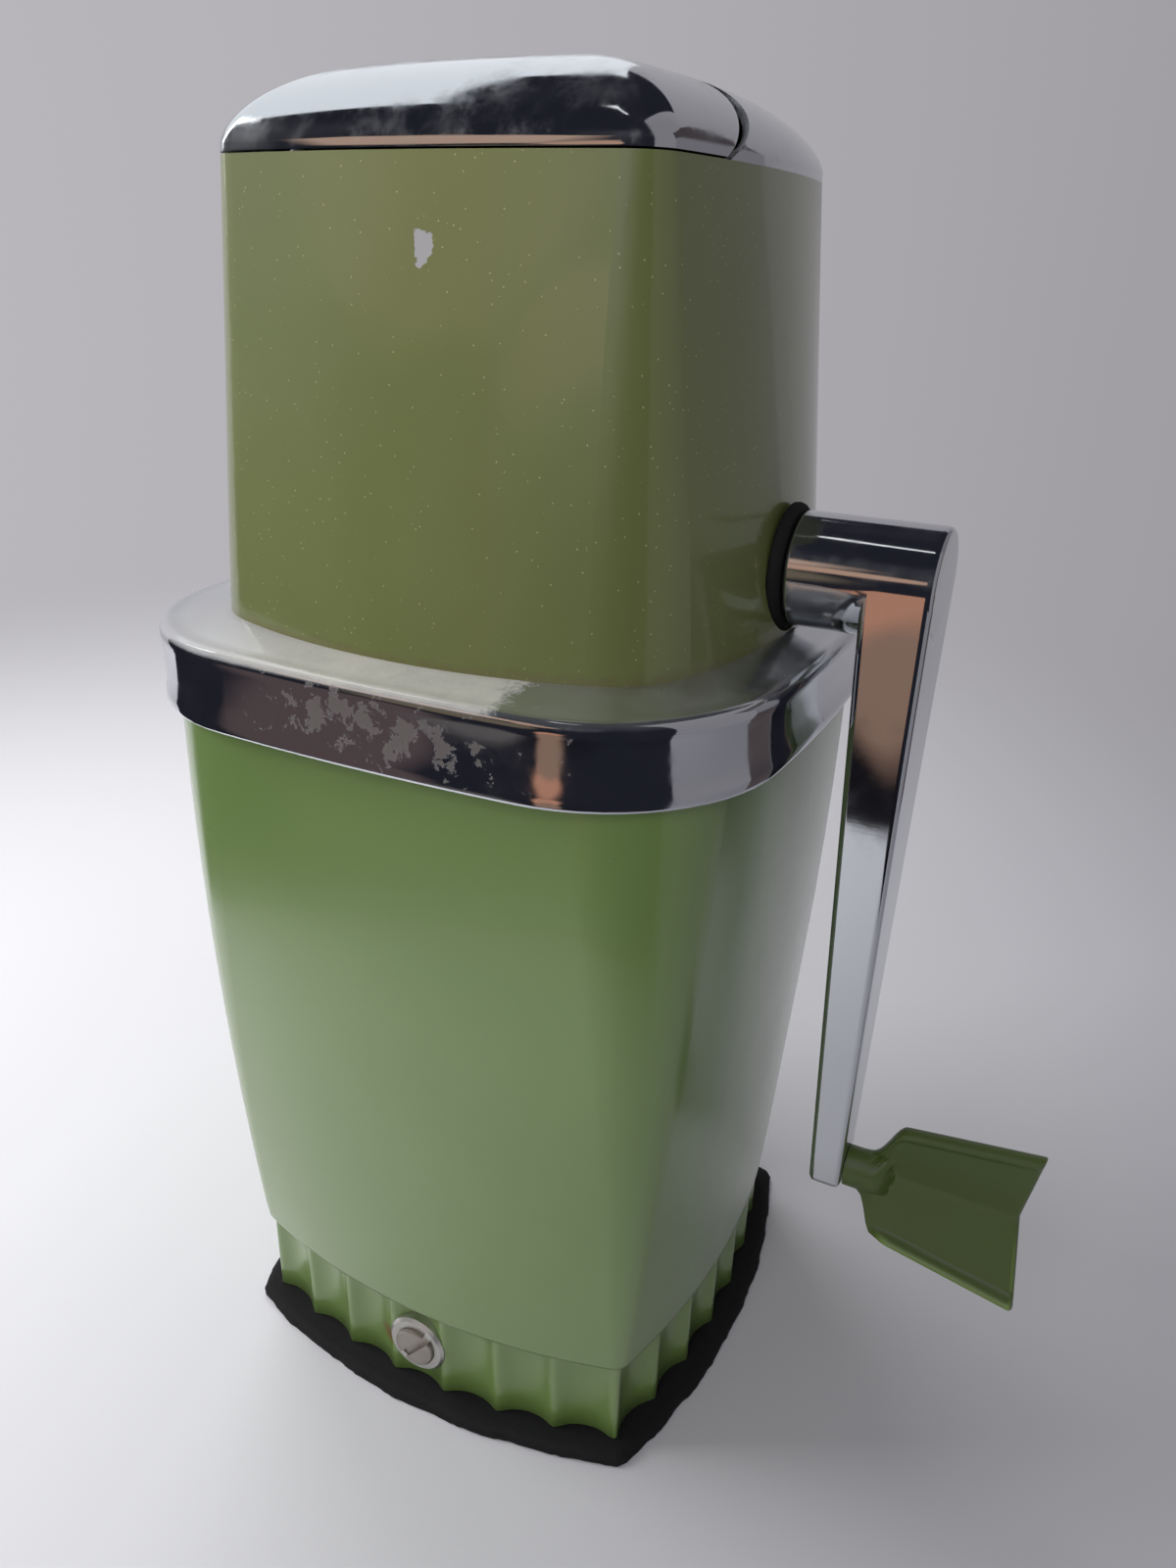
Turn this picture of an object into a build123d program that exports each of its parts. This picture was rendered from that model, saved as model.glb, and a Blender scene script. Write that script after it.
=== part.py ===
from build123d import *
import os
from math import asin, cos, degrees, radians, sin

# Hand crank ice crusher, in millimetres.
# The origin is the centre of the foot's flat bottom. +Z is up, the crank is on +X,
# and the side with the slotted stud faces -Y.

os.makedirs("parts", exist_ok=True)

# ---------------------------------------------------------------- clearances
running_fit = 0.05  # radial gap of a turning shaft in its bush
push_fit = 0.02  # radial gap of a screw or a pressed part in its hole
seat_gap = 0.2  # gap under a piece that lifts off its seat
moving_gap = 0.6  # free space between pieces that pass each other
level_count = 5  # sections that shape a tapered casing

# ---------------------------------------------------------------- driving sizes
# Rubber foot
foot_corner = 45.3
foot_bow = 8.2
foot_radius = 3.0
foot_height = 2.6
foot_bevel = 0.9
foot_lip_wall = 1.8
foot_lip_height = 2.2
foot_hub_radius = 10.0
foot_hub_height = 2.3
foot_hub_room = 3.0
foot_skin = 1.3

# Fluted skirt under the receptacle
skirt_height = 20.4
skirt_corner = 42.0
skirt_bow = 6.9
skirt_radius = 1.0
skirt_wall = 1.6
flute_count = 7
flute_depth = 1.9
ridge_land = 0.8

# Receptacle that the crushed ice falls into
receptacle_height = 134.0
receptacle_wall = 2.5
receptacle_floor = 2.5
receptacle_swell = 1.6
shoulder_corner = 43.1
shoulder_bow = 6.8
shoulder_radius = 3.9
rim_corner = 50.15
rim_bow = 3.3
rim_radius = 21.5
inner_corner = 1.5
floor_boss_radius = 4.2
floor_boss_place = 26.5

# Base plate and its screws
plate_sheet = 2.0
plate_lug_half = 7.0
plate_lug_sheet = 2.5
plate_lug_place = 16.0
plate_lug_margin = 3.0
base_screw_radius = 1.6
base_screw_head = 3.3
base_screw_length = 12.0

# Vacuum cam with its slotted stud
stud_height = 13.5
stud_radius = 4.4
stud_proud = 0.9
stud_slot_width = 1.6
stud_slot_depth = 1.2
stud_slot_angle = 50.0
stud_edge = 0.6
bushing_flange_radius = 6.5
bushing_barrel_radius = 5.6
bushing_proud = 0.6
bushing_inside = 2.5
cam_shaft_radius = 3.0
cam_radius = 4.2
cam_throw = 1.8
cam_rest_angle = -45.0
cam_half_width = 2.5
cam_clip_sheet = 0.8
cam_clip_radius = 5.0
cam_groove_depth = 0.8
stem_radius = 3.0
stem_head_radius = 7.0
stem_head_height = 1.2
yoke_half_width = 2.2
yoke_bar = 2.2

# Upper housing
housing_height = 69.8
housing_wall = 2.6
housing_lean = 1.15
housing_foot_corner = 40.4
housing_foot_bow = 8.6
housing_foot_radius = 18.8
mouth_corner = 36.7
mouth_bow = 3.7
mouth_radius = 7.2
axis_above_housing = 10.8
seat_pad_margin = 0.15
seat_sink = 0.6
seat_pad_wall = 3.0

# Bright collar band between the housing and the receptacle
collar_corner = 54.5
collar_bow = 3.6
collar_radius = 32.0
collar_wall = 1.5
collar_sheet = 1.5
collar_skirt = 13.7
collar_crown = 1.3
collar_edge = 1.9
collar_lip_edge = 0.6
collar_screw_place = 34.0
collar_screw_radius = 1.8
collar_screw_head = 3.4
collar_screw_head_height = 2.2
collar_screw_length = 16.0
housing_boss_radius = 4.8
housing_boss_height = 25.0

# Crusher frame, combs and chute
frame_half_length = 31.0
frame_half_width = 27.0
frame_wall = 3.0
frame_drop = 8.7
frame_rise = 34.3
flange_sheet = 1.5
flange_corner = 49.3
flange_bow = 3.4
flange_radius = 20.5
comb_sheet = 2.8
comb_half_height = 11.0
finger_root_half = 7.0
finger_tip_half = 3.0
comb_screw_place = 19.5
comb_screw_radius = 1.9
comb_screw_head = 3.6
comb_screw_head_height = 2.4
chute_sheet = 1.5
chute_top_half = 31.2
chute_top_radius = 14.0
chute_foot_radius = 3.0
chute_below_mouth = 3.0

# Crushing shaft
shaft_radius = 5.0
shaft_flat_half = 4.2
shaft_far_end = 36.0
wheel_count = 4
comb_end_margin = 2.0
wheel_sheet = 5.0
wheel_tip_radius = 19.5
wheel_root_radius = 12.0
wheel_teeth = 6
wheel_stagger = 15.0
wheel_side_gap = 1.0
spacer_radius = 7.0
bush_wall = 2.0
bush_flange = 4.0
bush_flange_sheet = 1.5
shaft_clip_sheet = 1.0
shaft_clip_radius = 8.0
shaft_groove_depth = 1.0
gasket_radius = 10.6
gasket_sheet = 2.1
gasket_edge = 0.7

# Crank
hub_radius = 9.5
hub_length = 24.1
hub_edge = 1.0
crank_throw = 118.5
arm_top_depth = 11.4
arm_tip_depth = 6.3
arm_tip_inset = 2.0
arm_tip_half = 4.7
arm_below_pin = 3.6
arm_edge = 1.2
shaft_in_hub = 12.5
set_screw_radius = 2.0
set_screw_place = 6.0
set_screw_sink = 0.3

# Grip
grip_pin_radius = 2.0
grip_pin_reach = 5.6
grip_neck_radius = 4.3
grip_neck_length = 4.8
grip_length = 35.8
grip_inner_half = 14.0
grip_outer_half = 18.3
grip_flare = 4.5
grip_notch = 2.4
grip_sheet = 2.8
grip_valley = 0.6
grip_wing_lean = 4.6
grip_corner = 1.6

# Two-part lid and its hinge
lid_height = 14.1
lid_band = 1.3
lid_spread = 0.6
lid_fullness = 1.3
lid_levels = 7
lid_sheet = 1.4
lid_seam_rim = -19.0
lid_seam_top = 1.5
lid_seam_gap = 0.8
lid_seam_crescent = 1.1
lid_seat_gap = 0.3
cap_boss_place = 31.9
cap_boss_radius = 3.7
cap_boss_drop = 18.0
cap_screw_radius = 1.5
cap_screw_head = 2.7
cap_screw_head_height = 1.8
cap_screw_bite = 4.5
hinge_half_length = 10.5
hinge_knuckle_half = 4.0
hinge_radius = 1.6
hinge_pin_radius = 0.8
hinge_sink = 0.3
hinge_leaf_sheet = 1.0
hinge_leaf_drop = 0.4
hinge_leaf_depth = 7.0
hinge_leaf_start = 2.2

# ---------------------------------------------------------------- levels and places worked out
shoulder_z = foot_height + skirt_height
rim_z = shoulder_z + receptacle_height
flange_z = rim_z + seat_gap
ledge_z = flange_z + flange_sheet
housing_z = ledge_z + collar_sheet
mouth_z = housing_z + housing_height
axis_z = housing_z + axis_above_housing
top_z = mouth_z + lid_height
plate_z = foot_height
plate_top_z = plate_z + plate_sheet
skirt_inset = flute_depth + skirt_wall
frame_bottom_z = ledge_z - frame_drop
frame_top_z = ledge_z + frame_rise


def between(low, high, share):
    """The value that lies a share of the way from low to high."""
    return low + (high - low) * share


def shares(first=0):
    """Even shares from first to the whole, one for each section of a tapered casing."""
    return [between(first, 1, level / (level_count - 1)) for level in range(level_count)]


def arc_radius(corner, bow):
    """Radius of the arc that bows a side of half length corner outwards by bow."""
    return (corner**2 + bow**2) / (2 * bow)


class BowedSquare(BaseSketchObject):
    """A square whose four sides bow outwards and whose corners are rounded."""

    def __init__(self, corner, bow, radius, rotation=0, align=None, mode=Mode.ADD):
        with BuildSketch(mode=Mode.PRIVATE) as outline:
            with BuildLine():
                for turn in range(4):
                    start = Vector(corner, -corner).rotate(Axis.Z, 90 * turn)
                    middle = Vector(corner + bow, 0).rotate(Axis.Z, 90 * turn)
                    end = Vector(corner, corner).rotate(Axis.Z, 90 * turn)
                    ThreePointArc(start, middle, end)
            make_face()
            fillet(outline.vertices(), radius)
        super().__init__(obj=outline.sketch, rotation=rotation, align=align, mode=mode)


class SquaredBar(BaseSketchObject):
    """The crushing shaft's section: a round with four flats, grown by a gap."""

    def __init__(self, gap, rotation=0, align=None, mode=Mode.ADD):
        with BuildSketch(mode=Mode.PRIVATE) as outline:
            Circle(shaft_radius + gap)
            Rectangle(2 * (shaft_flat_half + gap), 2 * (shaft_flat_half + gap), mode=Mode.INTERSECT)
        super().__init__(obj=outline.sketch, rotation=rotation, align=align, mode=mode)


def save(part, name):
    """Label a finished piece and write its STEP file."""
    part.label = name
    export_step(part, f"parts/{name}.step")


# ================================================================ receptacle
def receptacle_level(share, inset):
    """The receptacle's section, a share of the way up from the shoulder."""
    swelled = 1 - (1 - share) ** receptacle_swell
    corner = between(shoulder_corner, rim_corner, swelled) - inset
    bow = between(shoulder_bow, rim_bow, share)
    radius = max(between(shoulder_radius, rim_radius, share) - inset, inner_corner)
    with BuildSketch(Plane.XY.offset(shoulder_z + share * receptacle_height)) as section:
        BowedSquare(corner, bow, radius)
    return section.sketch


skirt_side = arc_radius(skirt_corner, skirt_bow)
skirt_front = skirt_corner + skirt_bow
flute_step = 2 * degrees(asin(skirt_corner / skirt_side)) / flute_count
flute_chord = 2 * skirt_side * sin(radians(flute_step / 2)) - ridge_land
flute_radius = (flute_chord**2 / 4 + flute_depth**2) / (2 * flute_depth)
boss_places = GridLocations(2 * floor_boss_place, 2 * floor_boss_place, 2, 2)
bushing_seat = skirt_front - flute_depth
bushing_back = bushing_seat - skirt_wall - bushing_inside

with BuildPart() as lower_body:
    loft(sections=[receptacle_level(share, 0) for share in shares()])
    floor_share = receptacle_floor / receptacle_height
    loft(
        sections=[receptacle_level(share, receptacle_wall) for share in shares(floor_share)],
        mode=Mode.SUBTRACT,
    )
    with BuildSketch(Plane.XY.offset(foot_height)):
        BowedSquare(skirt_corner, skirt_bow, skirt_radius)
    extrude(amount=skirt_height)
    with BuildSketch(Plane.XY.offset(foot_height)):
        for side in range(4):
            with Locations(Location((0, 0, 0), (0, 0, 90 * side))):
                with Locations((0, skirt_side - skirt_front)):
                    with PolarLocations(
                        skirt_side + flute_radius - flute_depth,
                        flute_count,
                        start_angle=270 - flute_step * (flute_count - 1) / 2,
                        angular_range=flute_step * (flute_count - 1),
                        endpoint=True,
                    ):
                        Circle(flute_radius)
    extrude(amount=skirt_height, mode=Mode.SUBTRACT)
    with BuildSketch(Plane.XY.offset(foot_height)):
        BowedSquare(skirt_corner - skirt_inset, skirt_bow, inner_corner)
    extrude(amount=skirt_height, mode=Mode.SUBTRACT)
    # bosses under the floor take the base plate's screws
    with BuildSketch(Plane.XY.offset(plate_top_z)):
        with boss_places:
            Circle(floor_boss_radius)
    extrude(amount=shoulder_z - plate_top_z)
    with BuildSketch(Plane.XY.offset(plate_top_z)):
        with boss_places:
            Circle(base_screw_radius + push_fit)
    extrude(amount=base_screw_length, mode=Mode.SUBTRACT)
    # a spot face and a bore in the middle flute seat the bright bushing
    with BuildSketch(Plane.XZ.offset(bushing_seat)):
        with Locations((0, stud_height)):
            Circle(bushing_flange_radius + push_fit)
    extrude(amount=skirt_front, mode=Mode.SUBTRACT)
    with BuildSketch(Plane.XZ.offset(bushing_seat)):
        with Locations((0, stud_height)):
            Circle(bushing_barrel_radius + push_fit)
    extrude(amount=-(skirt_wall + bushing_inside), mode=Mode.SUBTRACT)

save(lower_body.part, "lower_body")

# ================================================================ rubber suction foot
lip_corner = skirt_corner - skirt_inset - push_fit
plate_corner = lip_corner - foot_lip_wall - push_fit
stem_head_z = foot_skin + seat_gap
hub_top_z = foot_height + foot_hub_height

with BuildPart() as suction_foot:
    with BuildSketch():
        BowedSquare(foot_corner, foot_bow, foot_radius)
    extrude(amount=foot_height)
    chamfer(suction_foot.faces().sort_by(Axis.Z)[-1].edges(), foot_bevel)
    with BuildSketch(Plane.XY.offset(foot_height)):
        BowedSquare(lip_corner, skirt_bow, inner_corner)
        BowedSquare(plate_corner + push_fit, skirt_bow, inner_corner, mode=Mode.SUBTRACT)
    extrude(amount=foot_lip_height)
    with BuildSketch(Plane.XY.offset(foot_height)):
        Circle(foot_hub_radius)
    extrude(amount=foot_hub_height)
    with BuildSketch(Plane.XY.offset(foot_skin)):
        Circle(stem_head_radius + seat_gap)
    extrude(amount=stem_head_height + 2 * seat_gap, mode=Mode.SUBTRACT)
    with BuildSketch(Plane.XY.offset(foot_skin)):
        Circle(stem_radius + seat_gap)
    extrude(amount=hub_top_z - foot_skin, mode=Mode.SUBTRACT)

save(suction_foot.part, "suction_foot")

# ================================================================ base plate
lug_top_z = stud_height + cam_shaft_radius + plate_lug_margin

with BuildPart() as base_plate:
    with BuildSketch(Plane.XY.offset(plate_z)):
        BowedSquare(plate_corner, skirt_bow, inner_corner)
        Circle(foot_hub_radius + foot_hub_room, mode=Mode.SUBTRACT)
    extrude(amount=plate_sheet)
    with BuildSketch(Plane.XY.offset(plate_z)):
        with Locations((0, plate_lug_place)):
            Rectangle(2 * plate_lug_half, plate_lug_sheet, align=(Align.CENTER, Align.MIN))
    extrude(amount=lug_top_z - plate_z)
    with BuildSketch(Plane.XZ):
        with Locations((0, stud_height)):
            Circle(cam_shaft_radius + running_fit)
    extrude(amount=-(plate_lug_place + plate_lug_sheet), mode=Mode.SUBTRACT)
    with Locations(Plane.XY.offset(plate_z).rotated((180, 0, 0))):
        with GridLocations(2 * floor_boss_place, 2 * floor_boss_place, 2, 2):
            CounterSinkHole(
                radius=base_screw_radius + push_fit,
                counter_sink_radius=base_screw_head + push_fit,
                depth=plate_sheet,
                counter_sink_angle=90,
            )

save(base_plate.part, "base_plate")

base_screw_cone = base_screw_head - base_screw_radius
with BuildPart() as base_screw:
    with BuildSketch(Plane.XZ):
        with BuildLine():
            Polyline(
                (0, plate_z),
                (base_screw_head, plate_z),
                (base_screw_radius, plate_z + base_screw_cone),
                (base_screw_radius, plate_z + base_screw_length),
                (0, plate_z + base_screw_length),
                close=True,
            )
        make_face()
    revolve(axis=Axis.Z)

with BuildPart() as base_plate_screws:
    with boss_places:
        add(base_screw.part)

save(base_plate_screws.part, "base_plate_screws")

# ================================================================ vacuum cam
# Plane.XZ faces -Y: its offset runs to the front, and its sketches are drawn in X and Z.
ring_face = bushing_seat + bushing_proud + flute_depth
stud_face = ring_face + stud_proud
lug_back = -(plate_lug_place + plate_lug_sheet)
clip_start = lug_back - push_fit
clip_end = clip_start - cam_clip_sheet
shaft_end = clip_end - cam_clip_sheet
cam_x = cam_throw * cos(radians(cam_rest_angle))
cam_z = stud_height + cam_throw * sin(radians(cam_rest_angle))

with BuildPart() as cam_bushing:
    with BuildSketch(Plane.XZ.offset(bushing_seat)):
        with Locations((0, stud_height)):
            Circle(bushing_flange_radius)
            Circle(stud_radius + running_fit, mode=Mode.SUBTRACT)
    extrude(amount=ring_face - bushing_seat)
    ring_rim = cam_bushing.faces().sort_by(Axis.Y)[0].edges().sort_by(SortBy.RADIUS)[-1:]
    chamfer(ring_rim, bushing_proud)
    with BuildSketch(Plane.XZ.offset(bushing_seat)):
        with Locations((0, stud_height)):
            Circle(bushing_barrel_radius)
            Circle(stud_radius + running_fit, mode=Mode.SUBTRACT)
    extrude(amount=bushing_back - bushing_seat)

save(cam_bushing.part, "cam_bushing")

with BuildPart() as vacuum_cam_shaft:
    with BuildSketch(Plane.XZ.offset(bushing_back)):
        with Locations((0, stud_height)):
            Circle(stud_radius)
    extrude(amount=stud_face - bushing_back)
    fillet(vacuum_cam_shaft.faces().sort_by(Axis.Y)[0].edges(), stud_edge)
    with BuildSketch(Plane.XZ.offset(bushing_back)):
        with Locations((0, stud_height)):
            Circle(cam_shaft_radius)
    extrude(amount=shaft_end - bushing_back)
    with BuildSketch(Plane.XZ.offset(cam_half_width)):
        with Locations((cam_x, cam_z)):
            Circle(cam_radius)
    extrude(amount=-2 * cam_half_width)
    with BuildSketch(Plane.XZ.offset(clip_start)):
        with Locations((0, stud_height)):
            Circle(cam_shaft_radius)
            Circle(cam_shaft_radius - cam_groove_depth, mode=Mode.SUBTRACT)
    extrude(amount=clip_end - clip_start, mode=Mode.SUBTRACT)
    with BuildSketch(Plane.XZ.offset(stud_face - stud_slot_depth)):
        with Locations((0, stud_height)):
            Rectangle(2 * bushing_flange_radius, stud_slot_width, rotation=stud_slot_angle)
    extrude(amount=stud_slot_depth, mode=Mode.SUBTRACT)

save(vacuum_cam_shaft.part, "vacuum_cam_shaft")

with BuildPart() as cam_shaft_clip:
    with BuildSketch(Plane.XZ.offset(clip_start - push_fit)):
        with Locations((0, stud_height)):
            Circle(cam_clip_radius)
            Circle(cam_shaft_radius - cam_groove_depth + push_fit, mode=Mode.SUBTRACT)
            with Locations((0, -cam_clip_radius)):
                Rectangle(
                    2 * (cam_shaft_radius - cam_groove_depth), 2 * cam_clip_radius, mode=Mode.SUBTRACT
                )
    extrude(amount=-(cam_clip_sheet - 2 * push_fit))

save(cam_shaft_clip.part, "cam_shaft_clip")

yoke_window_height = cam_radius + seat_gap
yoke_window_width = cam_radius + cam_throw + seat_gap
yoke_bottom = cam_z - yoke_window_height - yoke_bar
with BuildPart() as pull_stem:
    with BuildSketch(Plane.XY.offset(stem_head_z)):
        Circle(stem_head_radius)
    extrude(amount=stem_head_height)
    with BuildSketch(Plane.XY.offset(stem_head_z)):
        Circle(stem_radius)
    extrude(amount=yoke_bottom + yoke_bar / 2 - stem_head_z)
    with BuildSketch(Plane.XZ.offset(yoke_half_width)):
        with Locations((0, cam_z)):
            RectangleRounded(
                2 * (yoke_window_width + yoke_bar),
                2 * (yoke_window_height + yoke_bar),
                yoke_bar,
            )
            Rectangle(2 * yoke_window_width, 2 * yoke_window_height, mode=Mode.SUBTRACT)
    extrude(amount=-2 * yoke_half_width)

save(pull_stem.part, "pull_stem")


# ================================================================ upper housing
def housing_level(share, inset):
    """The housing's section, a share of the way up from its foot to its mouth."""
    with BuildSketch(Plane.XY.offset(housing_z + share * housing_height)) as section:
        BowedSquare(
            between(housing_foot_corner, mouth_corner, share**housing_lean) - inset,
            between(housing_foot_bow, mouth_bow, share),
            max(between(housing_foot_radius, mouth_radius, share) - inset, inner_corner),
        )
    return section.sketch


def housing_half(height):
    """Half the housing's width at the middle of a side, at a height above its foot."""
    share = height / housing_height
    corner = between(housing_foot_corner, mouth_corner, share**housing_lean)
    return corner + between(housing_foot_bow, mouth_bow, share)


seat_face = housing_half(axis_above_housing) - seat_sink
seat_pad_radius = gasket_radius + seat_pad_margin
collar_screws_at = GridLocations(2 * collar_screw_place, 2 * collar_screw_place, 2, 2)
cap_screws_at = Locations((-cap_boss_place, cap_boss_place), (cap_boss_place, cap_boss_place))
cap_boss_z = mouth_z - cap_boss_drop

with BuildPart() as housing_envelope:
    loft(sections=[housing_level(share, 0) for share in shares()])

with BuildPart() as upper_housing:
    add(housing_envelope.part)
    loft(sections=[housing_level(share, housing_wall) for share in shares()], mode=Mode.SUBTRACT)
    with BuildSketch(Plane.XY.offset(housing_z)):
        with collar_screws_at:
            Circle(housing_boss_radius)
    extrude(amount=housing_boss_height)
    with BuildSketch(Plane.XY.offset(cap_boss_z)):
        with cap_screws_at:
            Circle(cap_boss_radius)
    extrude(amount=cap_boss_drop)
    # a flat pad inside the wall carries the seat of the shaft's gasket
    with BuildSketch(Plane.YZ.offset(seat_face)):
        with Locations((0, axis_z)):
            Circle(seat_pad_radius)
    extrude(amount=-seat_pad_wall)
    add(housing_envelope.part, mode=Mode.INTERSECT)
    with BuildSketch(Plane.YZ.offset(seat_face)):
        with Locations((0, axis_z)):
            Circle(seat_pad_radius)
    extrude(amount=housing_half(0), mode=Mode.SUBTRACT)
    with BuildSketch(Plane.YZ):
        with Locations((0, axis_z)):
            Circle(shaft_radius + moving_gap)
    extrude(amount=2 * seat_face, mode=Mode.SUBTRACT)
    with BuildSketch(Plane.XY.offset(housing_z)):
        with collar_screws_at:
            Circle(collar_screw_radius + push_fit)
    extrude(amount=collar_screw_length, mode=Mode.SUBTRACT)
    with BuildSketch(Plane.XY.offset(cap_boss_z)):
        with cap_screws_at:
            Circle(cap_screw_radius + push_fit)
    extrude(amount=cap_boss_drop, mode=Mode.SUBTRACT)

save(upper_housing.part, "upper_housing")

# ================================================================ collar band
collar_bottom = ledge_z + collar_sheet - collar_crown - collar_skirt
collar_shoulder = collar_bottom + collar_skirt
frame_window = (2 * (frame_half_length + seat_gap), 2 * (frame_half_width + seat_gap))

with BuildPart() as collar_band:
    with BuildSketch(Plane.XY.offset(collar_bottom)):
        BowedSquare(collar_corner, collar_bow, collar_radius)
    extrude(amount=collar_skirt)
    fillet(collar_band.faces().sort_by(Axis.Z)[-1].edges(), collar_edge)
    fillet(collar_band.faces().sort_by(Axis.Z)[0].edges(), collar_lip_edge)
    with BuildSketch(Plane.XY.offset(collar_shoulder)):
        BowedSquare(collar_corner - collar_edge, collar_bow, collar_radius - collar_edge)
    with BuildSketch(Plane.XY.offset(housing_z)):
        BowedSquare(housing_foot_corner + moving_gap, housing_foot_bow, housing_foot_radius + moving_gap)
    loft()
    with BuildSketch(Plane.XY.offset(collar_bottom)):
        BowedSquare(collar_corner - collar_wall, collar_bow, collar_radius - collar_wall)
    extrude(amount=collar_skirt - collar_sheet, mode=Mode.SUBTRACT)
    with BuildSketch(Plane.XY.offset(collar_bottom)):
        BowedSquare(flange_corner + seat_gap, flange_bow, flange_radius + seat_gap)
    extrude(amount=ledge_z - collar_bottom, mode=Mode.SUBTRACT)
    with BuildSketch(Plane.XY.offset(ledge_z)):
        Rectangle(*frame_window)
        with collar_screws_at:
            Circle(collar_screw_radius + push_fit)
    extrude(amount=collar_sheet, mode=Mode.SUBTRACT)

save(collar_band.part, "collar_band")

with BuildPart() as collar_screws:
    with BuildSketch(Plane.XY.offset(flange_z)):
        with collar_screws_at:
            Circle(collar_screw_head)
    extrude(amount=-collar_screw_head_height)
    with BuildSketch(Plane.XY.offset(flange_z)):
        with collar_screws_at:
            Circle(collar_screw_radius)
    extrude(amount=collar_screw_length)

save(collar_screws.part, "collar_screws")

# ================================================================ crusher frame
frame_inner_half_length = frame_half_length - frame_wall
frame_inner_half_width = frame_half_width - frame_wall
bush_radius = shaft_radius + bush_wall
wheel_pitch = 2 * (frame_inner_half_length - comb_end_margin) / wheel_count
comb_screws_at = Locations((-comb_screw_place, axis_z), (comb_screw_place, axis_z))

with BuildPart() as crusher_frame:
    with BuildSketch(Plane.XY.offset(frame_bottom_z)):
        Rectangle(2 * frame_half_length, 2 * frame_half_width)
    extrude(amount=frame_top_z - frame_bottom_z)
    with BuildSketch(Plane.XY.offset(flange_z)):
        BowedSquare(flange_corner, flange_bow, flange_radius)
        with collar_screws_at:
            Circle(collar_screw_radius + push_fit, mode=Mode.SUBTRACT)
    extrude(amount=flange_sheet)
    with BuildSketch(Plane.XY.offset(frame_bottom_z)):
        Rectangle(2 * frame_inner_half_length, 2 * frame_inner_half_width)
    extrude(amount=frame_top_z - frame_bottom_z, mode=Mode.SUBTRACT)
    with BuildSketch(Plane.YZ):
        with Locations((0, axis_z)):
            Circle(bush_radius + push_fit)
    extrude(amount=frame_half_length, both=True, mode=Mode.SUBTRACT)
    with BuildSketch(Plane.XZ):
        with comb_screws_at:
            Circle(comb_screw_radius + push_fit)
    extrude(amount=frame_half_width, both=True, mode=Mode.SUBTRACT)

save(crusher_frame.part, "crusher_frame")


def make_comb(name, side):
    """A comb plate on the wall at +Y or -Y, with a finger beside each crusher wheel."""
    root = side * (frame_inner_half_width - comb_sheet)
    tip = side * (spacer_radius + moving_gap)
    finger_space = wheel_pitch - wheel_sheet - 2 * wheel_side_gap
    with BuildPart() as comb:
        with BuildSketch(Plane.XZ.offset(-root)):
            with Locations((0, axis_z)):
                Rectangle(2 * (frame_inner_half_length - push_fit), 2 * comb_half_height)
            with comb_screws_at:
                Circle(comb_screw_radius + push_fit, mode=Mode.SUBTRACT)
        extrude(amount=-side * (comb_sheet - push_fit))
        for place in range(wheel_count + 1):
            middle = (place - wheel_count / 2) * wheel_pitch
            low = max(middle - finger_space / 2, push_fit - frame_inner_half_length)
            high = min(middle + finger_space / 2, frame_inner_half_length - push_fit)
            with BuildSketch(Plane.YZ.offset(low)):
                with BuildLine():
                    Polyline(
                        (root, axis_z - finger_root_half),
                        (tip, axis_z - finger_tip_half),
                        (tip, axis_z + finger_tip_half),
                        (root, axis_z + finger_root_half),
                        close=True,
                    )
                make_face()
            extrude(amount=high - low)
    save(comb.part, name)


make_comb("comb_front", -1)
make_comb("comb_rear", 1)

with BuildPart() as comb_screws:
    for side in (-1, 1):
        with BuildSketch(Plane.XZ.offset(-side * frame_half_width)):
            with comb_screws_at:
                Circle(comb_screw_head)
        extrude(amount=-side * comb_screw_head_height)
        with BuildSketch(Plane.XZ.offset(-side * frame_half_width)):
            with comb_screws_at:
                Circle(comb_screw_radius)
        extrude(amount=side * (frame_wall + comb_sheet))

save(comb_screws.part, "comb_screws")

# ================================================================ feed chute
chute_top_z = mouth_z - chute_below_mouth


def chute_levels(inset):
    """The chute's lower and upper sections."""
    with BuildSketch(Plane.XY.offset(frame_top_z)) as foot:
        RectangleRounded(
            2 * (frame_half_length - inset), 2 * (frame_half_width - inset), chute_foot_radius
        )
    with BuildSketch(Plane.XY.offset(chute_top_z)) as top:
        RectangleRounded(2 * (chute_top_half - inset), 2 * (chute_top_half - inset), chute_top_radius)
    return [foot.sketch, top.sketch]


with BuildPart() as feed_chute:
    loft(sections=chute_levels(0))
    loft(sections=chute_levels(chute_sheet), mode=Mode.SUBTRACT)

save(feed_chute.part, "feed_chute")


# ================================================================ crushing shaft
def make_bush(name, side):
    """A flanged bush in the frame's wall at +X or -X."""
    with BuildPart() as bush:
        with BuildSketch(Plane.YZ.offset(side * frame_inner_half_length)):
            with Locations((0, axis_z)):
                Circle(bush_radius)
                Circle(shaft_radius + running_fit, mode=Mode.SUBTRACT)
        extrude(amount=side * frame_wall)
        with BuildSketch(Plane.YZ.offset(side * frame_half_length)):
            with Locations((0, axis_z)):
                Circle(shaft_radius + bush_flange)
                Circle(shaft_radius + running_fit, mode=Mode.SUBTRACT)
        extrude(amount=side * bush_flange_sheet)
    save(bush.part, name)


make_bush("bush_crank_side", 1)
make_bush("bush_far_side", -1)

hub_start = seat_face + gasket_sheet + seat_gap
hub_end = hub_start + hub_length
shaft_crank_end = hub_start + shaft_in_hub
clip_seat = frame_half_length + bush_flange_sheet + seat_gap

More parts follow.
